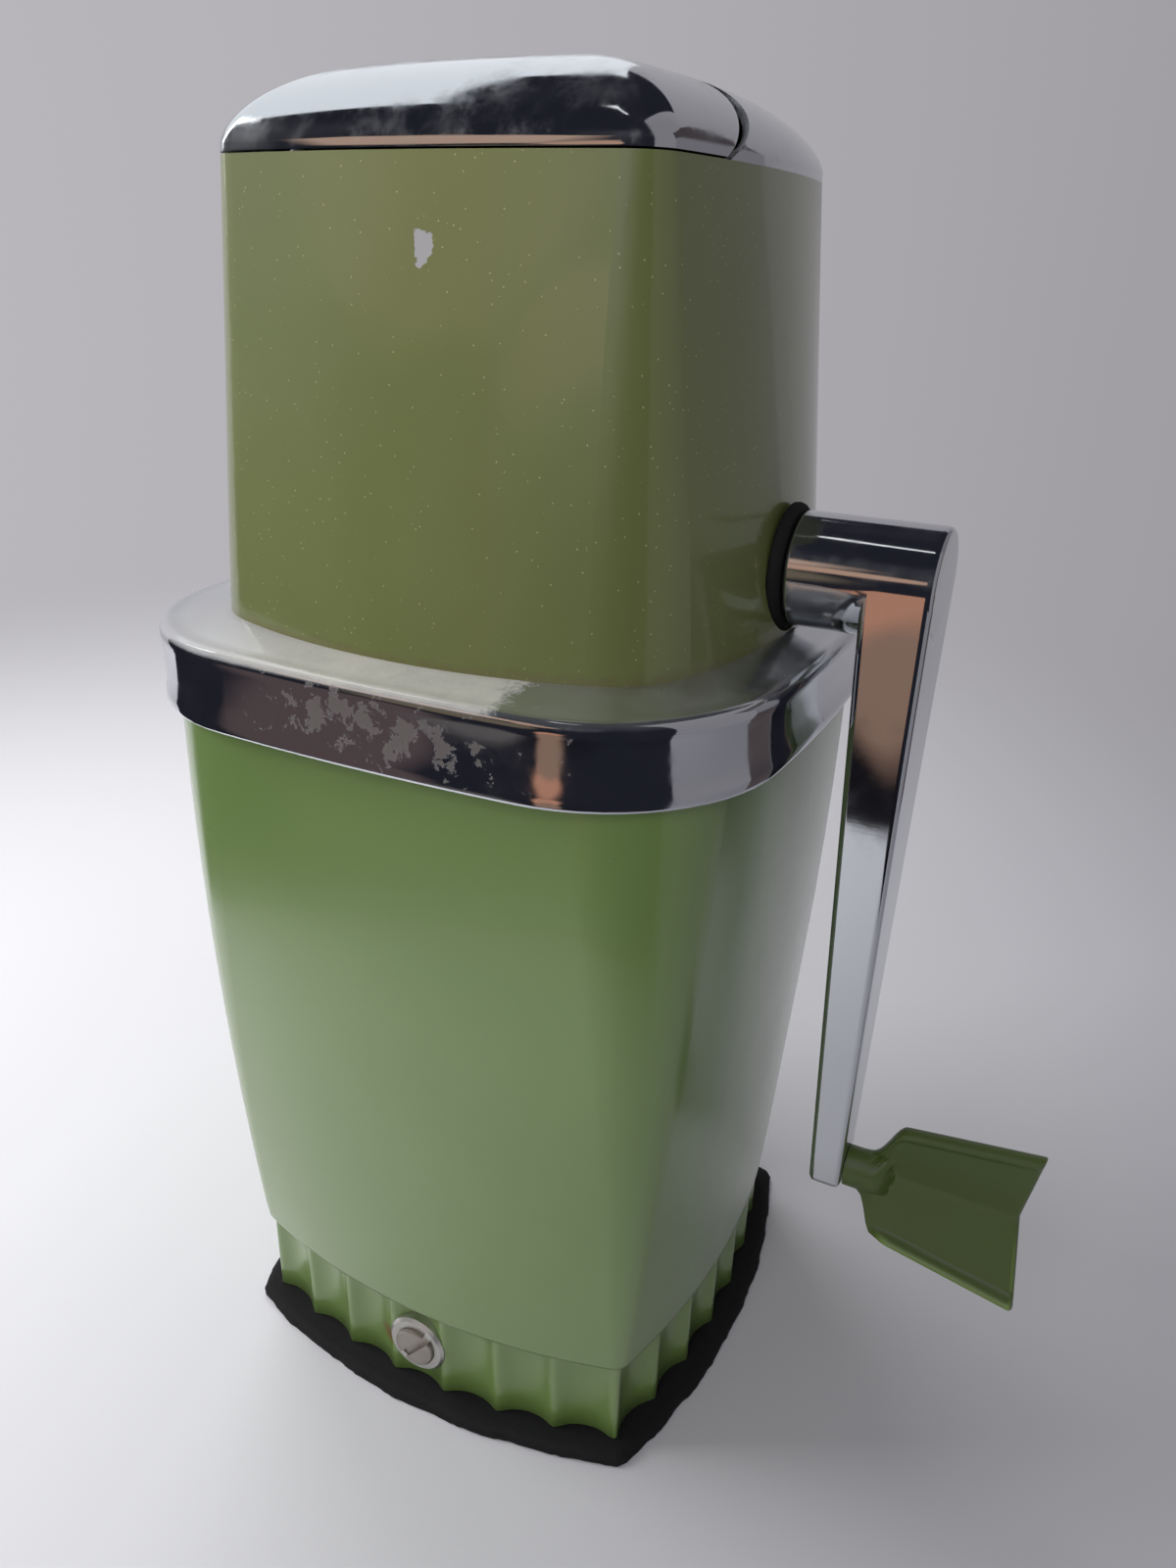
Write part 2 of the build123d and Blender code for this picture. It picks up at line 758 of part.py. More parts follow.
with BuildPart() as shaft_gasket:
    with BuildSketch(Plane.YZ.offset(seat_face)):
        with Locations((0, axis_z)):
            Circle(gasket_radius)
            Circle(shaft_radius + moving_gap, mode=Mode.SUBTRACT)
    extrude(amount=gasket_sheet)
    gasket_rim = shaft_gasket.faces().sort_by(Axis.X)[-1].edges().sort_by(SortBy.RADIUS)[-1:]
    fillet(gasket_rim, gasket_edge)

save(shaft_gasket.part, "shaft_gasket")

with BuildPart() as drive_shaft:
    with BuildSketch(Plane.YZ.offset(-shaft_far_end)):
        with Locations((0, axis_z)):
            Circle(shaft_radius)
    extrude(amount=shaft_far_end + shaft_crank_end)
    with BuildSketch(Plane.YZ):
        with Locations((0, axis_z)):
            Circle(2 * shaft_radius)
            SquaredBar(0, mode=Mode.SUBTRACT)
    extrude(amount=frame_inner_half_length - moving_gap, both=True, mode=Mode.SUBTRACT)
    with BuildSketch(Plane.YZ.offset(-clip_seat)):
        with Locations((0, axis_z)):
            Circle(shaft_radius)
            Circle(shaft_radius - shaft_groove_depth, mode=Mode.SUBTRACT)
    extrude(amount=-shaft_clip_sheet, mode=Mode.SUBTRACT)

save(drive_shaft.part, "drive_shaft")

with BuildPart() as shaft_clip:
    with BuildSketch(Plane.YZ.offset(-clip_seat - push_fit)):
        with Locations((0, axis_z)):
            Circle(shaft_clip_radius)
            Circle(shaft_radius - shaft_groove_depth + push_fit, mode=Mode.SUBTRACT)
            with Locations((0, -shaft_clip_radius)):
                Rectangle(
                    2 * (shaft_radius - shaft_groove_depth), 2 * shaft_clip_radius, mode=Mode.SUBTRACT
                )
    extrude(amount=-(shaft_clip_sheet - 2 * push_fit))

save(shaft_clip.part, "shaft_clip")

wheel_middles = [(index - (wheel_count - 1) / 2) * wheel_pitch for index in range(wheel_count)]
for index, middle in enumerate(wheel_middles):
    with BuildPart() as crusher_wheel:
        with BuildSketch(Plane.YZ.offset(middle - wheel_sheet / 2)):
            with Locations((0, axis_z)):
                with BuildSketch(mode=Mode.PRIVATE) as star:
                    with BuildLine():
                        points = []
                        for tooth in range(wheel_teeth):
                            turn = 360 / wheel_teeth * tooth + wheel_stagger * index
                            points.append(Vector(wheel_tip_radius, 0).rotate(Axis.Z, turn))
                            half = turn + 180 / wheel_teeth
                            points.append(Vector(wheel_root_radius, 0).rotate(Axis.Z, half))
                        Polyline(*points, close=True)
                    make_face()
                add(star.sketch)
                SquaredBar(push_fit, mode=Mode.SUBTRACT)
        extrude(amount=wheel_sheet)
    save(crusher_wheel.part, f"crusher_wheel_{index + 1}")

edges_x = [-(frame_inner_half_length - moving_gap)]
for middle in wheel_middles:
    edges_x += [middle - wheel_sheet / 2, middle + wheel_sheet / 2]
edges_x.append(frame_inner_half_length - moving_gap)
with BuildPart() as wheel_spacers:
    for low, high in zip(edges_x[0::2], edges_x[1::2]):
        with BuildSketch(Plane.YZ.offset(low + push_fit)):
            with Locations((0, axis_z)):
                Circle(spacer_radius)
                SquaredBar(push_fit, mode=Mode.SUBTRACT)
        extrude(amount=high - low - 2 * push_fit)

save(wheel_spacers.part, "wheel_spacers")

# ================================================================ crank arm
pin_z = axis_z - crank_throw
arm_bottom_z = pin_z - arm_below_pin
arm_tip_outer = hub_end - arm_tip_inset
arm_top_inner = hub_end - arm_top_depth
arm_tip_inner = arm_tip_outer - arm_tip_depth

with BuildPart() as crank_arm:
    with BuildSketch(Plane.XY.offset(arm_bottom_z)):
        with Locations(((arm_tip_inner + arm_tip_outer) / 2, 0)):
            RectangleRounded(arm_tip_depth, 2 * arm_tip_half, arm_edge)
    with BuildSketch(Plane.XY.offset(axis_z)):
        with Locations(((arm_top_inner + hub_end) / 2, 0)):
            RectangleRounded(arm_top_depth, 2 * hub_radius, arm_edge)
    loft()
    with BuildSketch(Plane.YZ.offset(hub_start)):
        with Locations((0, axis_z)):
            Circle(hub_radius)
    extrude(amount=hub_length)
    fillet(crank_arm.faces().sort_by(Axis.X)[0].edges(), hub_edge)
    with BuildSketch(Plane.YZ.offset(hub_start)):
        with Locations((0, axis_z)):
            Circle(shaft_radius + push_fit)
    extrude(amount=shaft_in_hub + push_fit, mode=Mode.SUBTRACT)
    with BuildSketch(Plane.XY.offset(axis_z - 2 * hub_radius)):
        with Locations((hub_start + set_screw_place, 0)):
            Circle(set_screw_radius + push_fit)
    extrude(amount=2 * hub_radius, mode=Mode.SUBTRACT)
    with BuildSketch(Plane.YZ.offset(hub_end)):
        with Locations((0, pin_z)):
            Circle(grip_pin_radius + push_fit)
    extrude(amount=-hub_length, mode=Mode.SUBTRACT)

save(crank_arm.part, "crank_arm")

set_screw_start = axis_z - hub_radius + set_screw_sink
with BuildPart() as crank_set_screw:
    with BuildSketch(Plane.XY.offset(set_screw_start)):
        with Locations((hub_start + set_screw_place, 0)):
            Circle(set_screw_radius)
    extrude(amount=axis_z - shaft_radius - push_fit - set_screw_start)
    with BuildSketch(Plane.XY.offset(set_screw_start)):
        with Locations((hub_start + set_screw_place, 0)):
            RegularPolygon(set_screw_radius / 2, 6)
    extrude(amount=set_screw_radius, mode=Mode.SUBTRACT)

save(crank_set_screw.part, "crank_set_screw")

# ================================================================ grip
grip_start = hub_end - arm_tip_inset + seat_gap
with BuildPart() as grip_pin:
    with BuildSketch(Plane.YZ.offset(grip_start + grip_pin_reach)):
        with Locations((0, pin_z)):
            Circle(grip_pin_radius)
    extrude(amount=-(grip_pin_reach + seat_gap + arm_tip_depth))

save(grip_pin.part, "grip_pin")

blade_start = grip_start + grip_neck_length
blade_corner = blade_start + grip_flare
grip_end = grip_start + grip_length
wing_slope = grip_wing_lean / grip_outer_half
wing_reach = grip_outer_half + grip_sheet


def wing_profile(front, back):
    """The bent section of the grip between two depths at its valley, as (Y, Z) points."""
    lean = wing_slope * wing_reach
    return [
        (front, pin_z),
        (front - lean, pin_z + wing_reach),
        (back - lean, pin_z + wing_reach),
        (back, pin_z),
        (back - lean, pin_z - wing_reach),
        (front - lean, pin_z - wing_reach),
    ]


with BuildPart() as grip_paddle:
    with BuildSketch(Plane.XZ.offset(2 * grip_wing_lean)) as blade:
        with BuildLine():
            for side in (-1, 1):
                Bezier(
                    (blade_start, pin_z + side * grip_neck_radius),
                    (blade_corner, pin_z + side * grip_neck_radius),
                    (blade_start, pin_z + side * grip_inner_half),
                    (blade_corner, pin_z + side * grip_inner_half),
                )
                Polyline(
                    (blade_corner, pin_z + side * grip_inner_half),
                    (grip_end, pin_z + side * grip_outer_half),
                    (grip_end - grip_notch, pin_z),
                )
            Line((blade_start, pin_z - grip_neck_radius), (blade_start, pin_z + grip_neck_radius))
        make_face()
        fillet(blade.vertices().sort_by(Axis.X)[-2:], grip_corner)
    extrude(amount=-4 * grip_wing_lean)
    with BuildSketch(Plane.YZ.offset(blade_start)):
        with BuildLine():
            Polyline(*wing_profile(grip_valley, grip_valley + grip_sheet), close=True)
        make_face()
    extrude(amount=grip_length, mode=Mode.INTERSECT)
    with BuildSketch(Plane.YZ.offset(grip_start)):
        with Locations((0, pin_z)):
            Circle(grip_neck_radius)
    extrude(amount=blade_corner - grip_start)
    with BuildSketch(Plane.YZ.offset((blade_start + blade_corner) / 2)):
        with BuildLine():
            Polyline(*wing_profile(-wing_reach, grip_valley), close=True)
        make_face()
    extrude(amount=grip_length, mode=Mode.SUBTRACT)
    with BuildSketch(Plane.YZ.offset(grip_start)):
        with Locations((0, pin_z)):
            Circle(grip_pin_radius + running_fit)
    extrude(amount=grip_pin_reach + seat_gap, mode=Mode.SUBTRACT)

save(grip_paddle.part, "grip_paddle")


# ================================================================ two-part lid
def lid_level(turn, inset):
    """The dome's section where its quarter turn has gone through an angle."""
    spread = cos(radians(turn)) ** lid_spread
    rise = (lid_height - lid_band - inset) * sin(radians(turn)) ** lid_fullness
    with BuildSketch(Plane.XY.offset(mouth_z + lid_band + rise)) as section:
        BowedSquare(
            (mouth_corner - inset) * spread, mouth_bow * spread, (mouth_radius - inset) * spread
        )
    return section.sketch


def dome(inset):
    """The lid's solid dome, drawn in by an inset."""
    turns = [90 * level / lid_levels for level in range(lid_levels)]
    with BuildPart() as solid:
        with BuildSketch(Plane.XY.offset(mouth_z)):
            BowedSquare(mouth_corner - inset, mouth_bow, mouth_radius - inset)
        extrude(amount=lid_band)
        loft(sections=[lid_level(turn, inset) for turn in turns])
    return solid.part


seam_run = Vector(lid_seam_top - lid_seam_rim, lid_height)
seam_foot = Vector(lid_seam_rim, mouth_z)
seam_head = Vector(lid_seam_top, top_z)
seam_normal = seam_run.rotate(Axis.Z, -90).normalized()
gap_half = seam_normal * (lid_seam_gap / 2)
seam_low = seam_foot - seam_run
seam_high = seam_head + seam_run
lid_far = 2 * mouth_corner
hinge_y = lid_seam_top
hinge_z = top_z - hinge_sink
knuckle_room = hinge_radius + moving_gap
lid_shell_outer = dome(0)
lid_shell_inner = dome(lid_sheet)

with BuildPart() as front_lid:
    add(lid_shell_outer)
    add(lid_shell_inner, mode=Mode.SUBTRACT)
    with BuildSketch(Plane.YZ):
        with BuildLine():
            Polyline(
                seam_low - gap_half,
                seam_high - gap_half,
                (-lid_far, seam_high.Y),
                (-lid_far, mouth_z + lid_seat_gap),
                (lid_seam_rim - lid_far, mouth_z + lid_seat_gap),
                (lid_seam_rim - lid_far, seam_low.Y),
                close=True,
            )
        make_face()
    extrude(amount=lid_far, both=True, mode=Mode.INTERSECT)
    with BuildSketch(Plane.XY.offset(mouth_z)):
        Rectangle(2 * lid_far, 2 * lid_far)
    extrude(amount=lid_seat_gap, mode=Mode.SUBTRACT)
    with BuildSketch(Plane.YZ):
        with Locations((hinge_y, hinge_z)):
            Circle(knuckle_room)
    extrude(amount=hinge_half_length + seat_gap, both=True, mode=Mode.SUBTRACT)

save(front_lid.part, "front_lid")

with BuildPart() as rear_cap:
    add(lid_shell_outer)
    add(lid_shell_inner, mode=Mode.SUBTRACT)
    # bosses under the cap take the screws that come up through the housing
    with BuildSketch(Plane.XY.offset(mouth_z)):
        with cap_screws_at:
            Circle(cap_boss_radius)
    extrude(amount=lid_height)
    add(lid_shell_outer, mode=Mode.INTERSECT)
    with BuildSketch(Plane.YZ):
        with BuildLine():
            seam_middle = (seam_foot + seam_head) / 2 + seam_normal * lid_seam_crescent
            Line(seam_low + gap_half, seam_foot + gap_half)
            ThreePointArc(seam_foot + gap_half, seam_middle + gap_half, seam_head + gap_half)
            Polyline(
                seam_head + gap_half,
                seam_high + gap_half,
                (lid_far, seam_high.Y),
                (lid_far, seam_low.Y),
                seam_low + gap_half,
            )
        make_face()
    extrude(amount=lid_far, both=True, mode=Mode.INTERSECT)
    with BuildSketch(Plane.YZ):
        with Locations((hinge_y, hinge_z)):
            Circle(knuckle_room)
    extrude(amount=hinge_half_length + seat_gap, both=True, mode=Mode.SUBTRACT)
    with BuildSketch(Plane.XY.offset(mouth_z)):
        with cap_screws_at:
            Circle(cap_screw_radius + push_fit)
    extrude(amount=cap_screw_bite, mode=Mode.SUBTRACT)

save(rear_cap.part, "rear_cap")

with BuildPart() as rear_cap_screws:
    with BuildSketch(Plane.XY.offset(cap_boss_z)):
        with cap_screws_at:
            Circle(cap_screw_head)
    extrude(amount=-cap_screw_head_height)
    with BuildSketch(Plane.XY.offset(cap_boss_z)):
        with cap_screws_at:
            Circle(cap_screw_radius)
    extrude(amount=cap_boss_drop + cap_screw_bite - seat_gap)

save(rear_cap_screws.part, "rear_cap_screws")


def make_hinge_leaf(name, side, spans):
    """A hinge leaf under the lid on one side of the pin, with knuckles over the given spans."""
    leaf_top = hinge_z - hinge_radius - hinge_leaf_drop
    start = hinge_y + side * hinge_leaf_start
    end = start + side * hinge_leaf_depth
    with BuildPart() as leaf:
        with BuildSketch(Plane.YZ):
            Polygon(
                (start, leaf_top - hinge_leaf_sheet),
                (end, leaf_top - hinge_leaf_sheet),
                (end, leaf_top),
                (start, leaf_top),
                align=None,
            )
        extrude(amount=hinge_half_length, both=True)
        for low, high in spans:
            with BuildSketch(Plane.YZ.offset(low)):
                Polygon(
                    (start, leaf_top - hinge_leaf_sheet),
                    (start, leaf_top),
                    (hinge_y, hinge_z),
                    (hinge_y, leaf_top - hinge_leaf_sheet),
                    align=None,
                )
                with Locations((hinge_y, hinge_z)):
                    Circle(hinge_radius)
                    Circle(hinge_pin_radius + running_fit, mode=Mode.SUBTRACT)
            extrude(amount=high - low)
    save(leaf.part, name)


knuckle_end = hinge_knuckle_half + seat_gap
make_hinge_leaf("hinge_leaf_front", -1, [(-hinge_knuckle_half, hinge_knuckle_half)])
make_hinge_leaf(
    "hinge_leaf_rear", 1, [(-hinge_half_length, -knuckle_end), (knuckle_end, hinge_half_length)]
)

with BuildPart() as hinge_pin:
    with BuildSketch(Plane.YZ):
        with Locations((hinge_y, hinge_z)):
            Circle(hinge_pin_radius)
    extrude(amount=hinge_half_length, both=True)

save(hinge_pin.part, "hinge_pin")
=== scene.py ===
# %% [markdown]
# # A hand crank ice crusher in Blender
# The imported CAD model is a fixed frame. Every piece made here sits where its CAD
# solid says and rides on the same body, so it moves when the crank turns or the
# lid opens. All sizes are written in millimetres and turned to metres once.

# %% Load the frame
import math

import bmesh
import bpy
from mathutils import Matrix, Vector, noise


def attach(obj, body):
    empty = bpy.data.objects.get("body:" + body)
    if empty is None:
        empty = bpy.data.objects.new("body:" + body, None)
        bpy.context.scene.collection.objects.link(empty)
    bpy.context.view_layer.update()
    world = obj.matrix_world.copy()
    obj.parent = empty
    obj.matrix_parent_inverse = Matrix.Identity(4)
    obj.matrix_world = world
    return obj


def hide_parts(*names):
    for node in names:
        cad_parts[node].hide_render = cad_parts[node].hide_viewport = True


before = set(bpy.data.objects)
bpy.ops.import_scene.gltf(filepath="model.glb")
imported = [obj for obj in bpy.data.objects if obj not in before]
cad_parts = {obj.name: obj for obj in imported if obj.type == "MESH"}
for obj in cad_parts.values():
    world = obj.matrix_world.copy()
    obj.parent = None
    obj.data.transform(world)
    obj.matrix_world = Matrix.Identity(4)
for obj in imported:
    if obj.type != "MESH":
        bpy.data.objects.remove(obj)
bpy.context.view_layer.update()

MM = 0.001
scene = bpy.context.scene

# %% [markdown]
# ## Camera
# The view looks down on the near corner from the crank's side. Its direction is
# given by an azimuth, an angle below the horizon and a small roll, which are turned
# into the three axes that a Blender camera has.

# %% Camera at the photograph's viewing angle
camera_place = Vector((103.51, -188.93, 217.70)) * MM
azimuth, below, roll = (math.radians(angle) for angle in (25.97, 24.32, 1.61))
forward = Vector((-math.sin(azimuth) * math.cos(below), math.cos(azimuth) * math.cos(below), -math.sin(below)))
level = forward.cross(Vector((0, 0, 1))).normalized()
upright = level.cross(forward)
right = level * math.cos(roll) + upright * math.sin(roll)
up = upright * math.cos(roll) - level * math.sin(roll)
camera = bpy.data.objects.new("camera", bpy.data.cameras.new("camera"))
camera.data.lens = 26.89
camera.data.sensor_width = 36
camera.data.clip_start = 10 * MM
camera.matrix_world = Matrix.Translation(camera_place) @ Matrix((right, up, -forward)).transposed().to_4x4()
scene.collection.objects.link(camera)
scene.camera = camera
scene.view_settings.view_transform = "Standard"
print("camera stands", round(camera_place.length / MM), "mm from the foot's centre")

# %% [markdown]
# ## Colour and node helpers
# Colours are written as the hex values a picture editor shows. Shaders work in
# linear light, so one function turns them. One more function adds a node, sets it
# and links it, which keeps each material short enough to read. A link may name a
# whole node, which stands for the node's first live output.

# %% Colour and node helpers
def hex_colour(code):
    """An sRGB hex code as the linear colour that shaders use."""
    parts = [int(code[i : i + 2], 16) / 255 for i in (1, 3, 5)]
    return [p / 12.92 if p <= 0.04045 else ((p + 0.055) / 1.055) ** 2.4 for p in parts] + [1]


def feed(tree, node, links):
    """Feed a node's inputs from sockets, or from the first live output of other nodes."""
    for name, source in links.items():
        if hasattr(source, "outputs"):
            source = next(socket for socket in source.outputs if socket.enabled)
        tree.links.new(source, node.inputs[name])


def add(tree, kind, settings=None, links=None):
    """Add one shader node, set its properties or inputs, and feed its inputs from other nodes."""
    node = tree.nodes.new("ShaderNode" + kind)
    for name, value in (settings or {}).items():
        if isinstance(value, str) and value.startswith("#"):
            value = hex_colour(value)
        if isinstance(name, str) and hasattr(node, name):
            setattr(node, name, value)
        else:
            node.inputs[name].default_value = value
    feed(tree, node, links or {})
    return node


def per(size_mm):
    """A texture scale at which one cell of the pattern is this many millimetres."""
    return 1 / (size_mm * MM)


def new_material(name, colour, metallic, roughness, **sockets):
    """A Principled material with its constants on the shader's own sockets."""
    made = bpy.data.materials.new(name)
    made.use_nodes = True
    tree = made.node_tree
    shader = tree.nodes["Principled BSDF"]
    shader.inputs["Base Color"].default_value = hex_colour(colour)
    shader.inputs["Metallic"].default_value = metallic
    shader.inputs["Roughness"].default_value = roughness
    for socket, value in sockets.items():
        shader.inputs[socket.replace("_", " ")].default_value = value
    return made, tree, shader


print("olive as linear light:", [round(v, 3) for v in hex_colour("#6b7540")[:3]])

# %% [markdown]
# ## Light
# Chrome has no colour of its own, it shows the room. So the light is built in two
# halves: soft lamps and a pale world light the paint and the plastic, and cards
# that only reflections see, further down, give the plate something to mirror. The
# world gets darker from left to right, as a lit backdrop does away from its lamp.

# %% World and lamps
world = bpy.data.worlds.new("pale studio")
scene.world = world
world.use_nodes = True
sky = world.node_tree
direction = add(sky, "TexCoord")
axes = add(sky, "SeparateXYZ", links={0: direction.outputs["Generated"]})
fall = add(sky, "MapRange", {"From Min": -0.9, "From Max": 0.5}, {"Value": axes.outputs["X"]})
backdrop = add(sky, "Mix", {"data_type": "RGBA", 6: "#bcbabf", 7: "#8c8a8e"}, {0: fall})
feed(sky, sky.nodes["Background"], {"Color": backdrop})


def softbox(name, place, size, watts):
    """A square area lamp that faces the middle of the object."""
    lamp = bpy.data.lights.new(name, "AREA")
    lamp.size = size * MM
    lamp.energy = watts
    made = bpy.data.objects.new(name, lamp)
    made.location = Vector(place) * MM
    aim = Vector((0, 0, 130)) * MM - made.location
    made.rotation_euler = aim.to_track_quat("-Z", "Y").to_euler()
    scene.collection.objects.link(made)
    return made


softbox("key softbox", (-620, -200, 470), 460, 5.4)
top_lamp = softbox("top softbox", (-400, 330, 700), 400, 2.8)
# the white tent card stands for this lamp in reflections, at a tone that doesn't clip
top_lamp.visible_glossy = False
softbox("fill softbox", (120, -700, 520), 420, 2.7)

# %% [markdown]
# ## Floor
# The object stands on pale paper. A disc that turns see-through towards its edge
# melts into the world's tone, so no horizon line is seen from any side.

# %% Floor that fades into the backdrop
floor_radius = 900
floor_mesh = bpy.data.meshes.new("floor")
turns = [math.tau * i / 64 for i in range(64)]
ring = [Vector((math.cos(turn), math.sin(turn), 0)) * floor_radius * MM for turn in turns]
floor_mesh.from_pydata(ring, [], [list(range(64))])
floor = bpy.data.objects.new("floor", floor_mesh)
scene.collection.objects.link(floor)
paper, tree, shader = new_material("pale paper floor with painted shade", "#bebec1", 0, 0.7)
spot = add(tree, "TexCoord").outputs["Object"]
reach = add(tree, "VectorMath", {"operation": "LENGTH"}, {0: spot})
fade = add(
    tree, "MapRange",
    {"interpolation_type": "SMOOTHSTEP", "From Min": 0.18, "From Max": 0.7, "To Min": 1, "To Max": 0},
    {"Value": reach},
)
# the paper is painted darker towards +X, as painted shade on the side away from the key lamp
axes = add(tree, "SeparateXYZ", links={0: spot})
fall = add(tree, "MapRange", {"From Min": -0.12, "From Max": 0.3}, {"Value": axes.outputs["X"]})
paper_tone_and_painted_shade = add(tree, "Mix", {"data_type": "RGBA", 6: "#cbcbce", 7: "#94949a"}, {0: fall})
feed(tree, shader, {"Alpha": fade, "Base Color": paper_tone_and_painted_shade})
floor_mesh.materials.append(paper)
print("floor disc across:", 2 * floor_radius, "mm")

# %% [markdown]
# ## Cards for the chrome
# Polished plate looks like plate only when something dark and something bright are
# in it. Dark card stands in front and overhead, with soft warm patches, a white
# tent stands behind, and a narrow strip puts the bright line along the hub. The
# cards are seen by reflections alone, so they take no light from the object.

# %% Paint of the cards
def card_paint(name, base, low, patches=(), strength=1.0):
    """A card's paint: a base tone, another near the table, and soft patches as ellipsoids in mm."""
    made = bpy.data.materials.new(name)
    made.use_nodes = True
    tree = made.node_tree
    tree.nodes.remove(tree.nodes["Principled BSDF"])
    place = add(tree, "TexCoord").outputs["Object"]
    # the patches' edges wander by up to 25 mm, so that no reflection looks drawn
    blur = add(tree, "TexNoise", {"Scale": per(90), "Detail": 1}, {"Vector": place})
    wander = {"operation": "MULTIPLY_ADD", 1: (0.05, 0.05, 0.05), 2: (-0.025, -0.025, -0.025)}
    centred = add(tree, "VectorMath", wander, {0: blur.outputs["Color"]})
    spot = add(tree, "VectorMath", {"operation": "ADD"}, {0: place, 1: centred})
    height = add(tree, "SeparateXYZ", links={0: spot})
    lower = add(tree, "MapRange", {"From Min": 0.03, "From Max": 0.06}, {"Value": height.outputs["Z"]})
    colour = add(tree, "Mix", {"data_type": "RGBA", 6: low, 7: base}, {0: lower})
    for middle, size, code in patches:
        away = add(tree, "VectorMath", {"operation": "SUBTRACT", 1: Vector(middle) * MM}, {0: spot})
        shaped = add(tree, "VectorMath", {"operation": "DIVIDE", 1: Vector(size) * MM}, {0: away})
        reach = add(tree, "VectorMath", {"operation": "LENGTH"}, {0: shaped})
        soft = add(tree, "MapRange", {"From Min": 0.7, "From Max": 1, "To Min": 1, "To Max": 0}, {"Value": reach})
        colour = add(tree, "Mix", {"data_type": "RGBA", 7: code}, {0: soft, 6: colour})
    glow = add(tree, "Emission", {"Strength": strength}, {"Color": colour})
    feed(tree, tree.nodes["Material Output"], {"Surface": glow})
    return made


warm_patches = (
    ((33, -229, 92), (34, 60, 42), "#c08a72"),
    ((33, -229, 56), (34, 60, 34), "#957868"),
    ((-125, -195, 85), (60, 60, 60), "#5a4d4e"),
    ((-50, -225, 170), (70, 60, 50), "#6f6455"),
    ((4, -231, 229), (52, 60, 22), "#bf9a84"),
    ((-95, -211, 270), (120, 90, 42), "#bd9f8c"),
    ((-85, -216, 22), (95, 60, 40), "#625d5d"),
)
dark_paint = card_paint("dark card with warm patches", "#23242c", "#17161b", warm_patches)
brown_paint = card_paint("grey brown card", "#4a4446", "#544b4d", [((253, 212, 220), (170, 170, 130), "#7d7a80")])
strip_paint = card_paint("white strip", "#ffffff", "#ffffff", strength=1.3)
tent_paint = card_paint("white tent", "#e6eaee", "#e6eaee", strength=1.15)
print("card paints:", [m.name for m in (dark_paint, brown_paint, strip_paint, tent_paint)])

# %% Hang the cards
def hang_card(name, corners, faces, material):
    """A card that only reflections see, with its corners in mm."""
    mesh = bpy.data.meshes.new(name)
    mesh.from_pydata([Vector(corner) * MM for corner in corners], [], faces)
    mesh.materials.append(material)
    card = bpy.data.objects.new(name, mesh)
    card.visible_camera = card.visible_diffuse = card.visible_shadow = False
    card.visible_transmission = card.visible_volume_scatter = False
    scene.collection.objects.link(card)


def curved_card(name, radius, start, end, low, high, material):
    """Part of an upright cylinder round the object, between two compass angles from -Y."""
    steps = 24
    angles = [math.radians(start + (end - start) * i / steps) for i in range(steps + 1)]
    corners = [(radius * math.sin(a), -radius * math.cos(a), z) for a in angles for z in (low, high)]
    faces = [(2 * i, 2 * i + 1, 2 * i + 3, 2 * i + 2) for i in range(steps)]
    hang_card(name, corners, faces, material)


card_top = 1300
curved_card("front card", 232, start=-82, end=62, low=0, high=card_top, material=dark_paint)
overhead = [(x, y, card_top - 10) for x, y in ((-620, -240), (420, -240), (420, 1300), (-620, 1300))]
hang_card("overhead card", overhead, [(0, 1, 2, 3)], dark_paint)
curved_card("side card", 330, start=112, end=150, low=0, high=420, material=brown_paint)
curved_card("strip", 225, start=-58, end=4, low=1020, high=1160, material=strip_paint)
curved_card("tent", 900, start=200, end=275, low=560, high=2600, material=tent_paint)

# %% [markdown]
# ## Outlines
# Every casing of this machine has the same plan: a square with bowed sides and
# rounded corners. One function gives that outline at any size with a fixed number
# of points, so that outlines stacked up make clean rings of four-sided faces.

# %% Bowed outlines
SIDE_STEPS, CORNER_STEPS = 28, 14


def bowed_outline(corner, bow, radius, side_steps=SIDE_STEPS, corner_steps=CORNER_STEPS):
    """Points in mm round a square with bowed sides, starting at the -Y corner of +X."""
    big = (corner**2 + bow**2) / (2 * bow)
    middle = corner + bow - big
    # the corner circle touches both arcs: (t - middle)^2 + t^2 = (big - radius)^2
    t = (middle + math.sqrt(2 * (big - radius) ** 2 - middle**2)) / 2
    swing = math.atan2(t, t - middle)
    quarter = [(middle + big * math.cos(a), big * math.sin(a))
               for a in (swing * (2 * i / side_steps - 1) for i in range(side_steps))]
    quarter += [(t + radius * math.cos(a), t + radius * math.sin(a))
                for a in (swing + (math.pi / 2 - 2 * swing) * i / corner_steps for i in range(corner_steps))]
    points = []
    for turn in range(4):
        c, s = (1, 0, -1, 0)[turn], (0, 1, 0, -1)[turn]
        points += [(c * x - s * y, s * x + c * y) for x, y in quarter]
    return points


def level_ring(outline, z, share=1.0):
    """An outline lifted to one height, as vectors in mm, and scaled about its middle."""
    return [Vector((x * share, y * share, z)) for x, y in outline]


print("points in one outline:", len(bowed_outline(40, 5, 8)))

# %% [markdown]
# ## Skins over rings
# A casing is a skin over a stack of outlines, and a turned part is a skin over
# circles. Building the faces row by row keeps them four-sided and even, which
# mirrors cleanly in plate. Holes and joins are made with a boolean afterwards, and
# baked at once, so that the piece is a plain closed mesh.

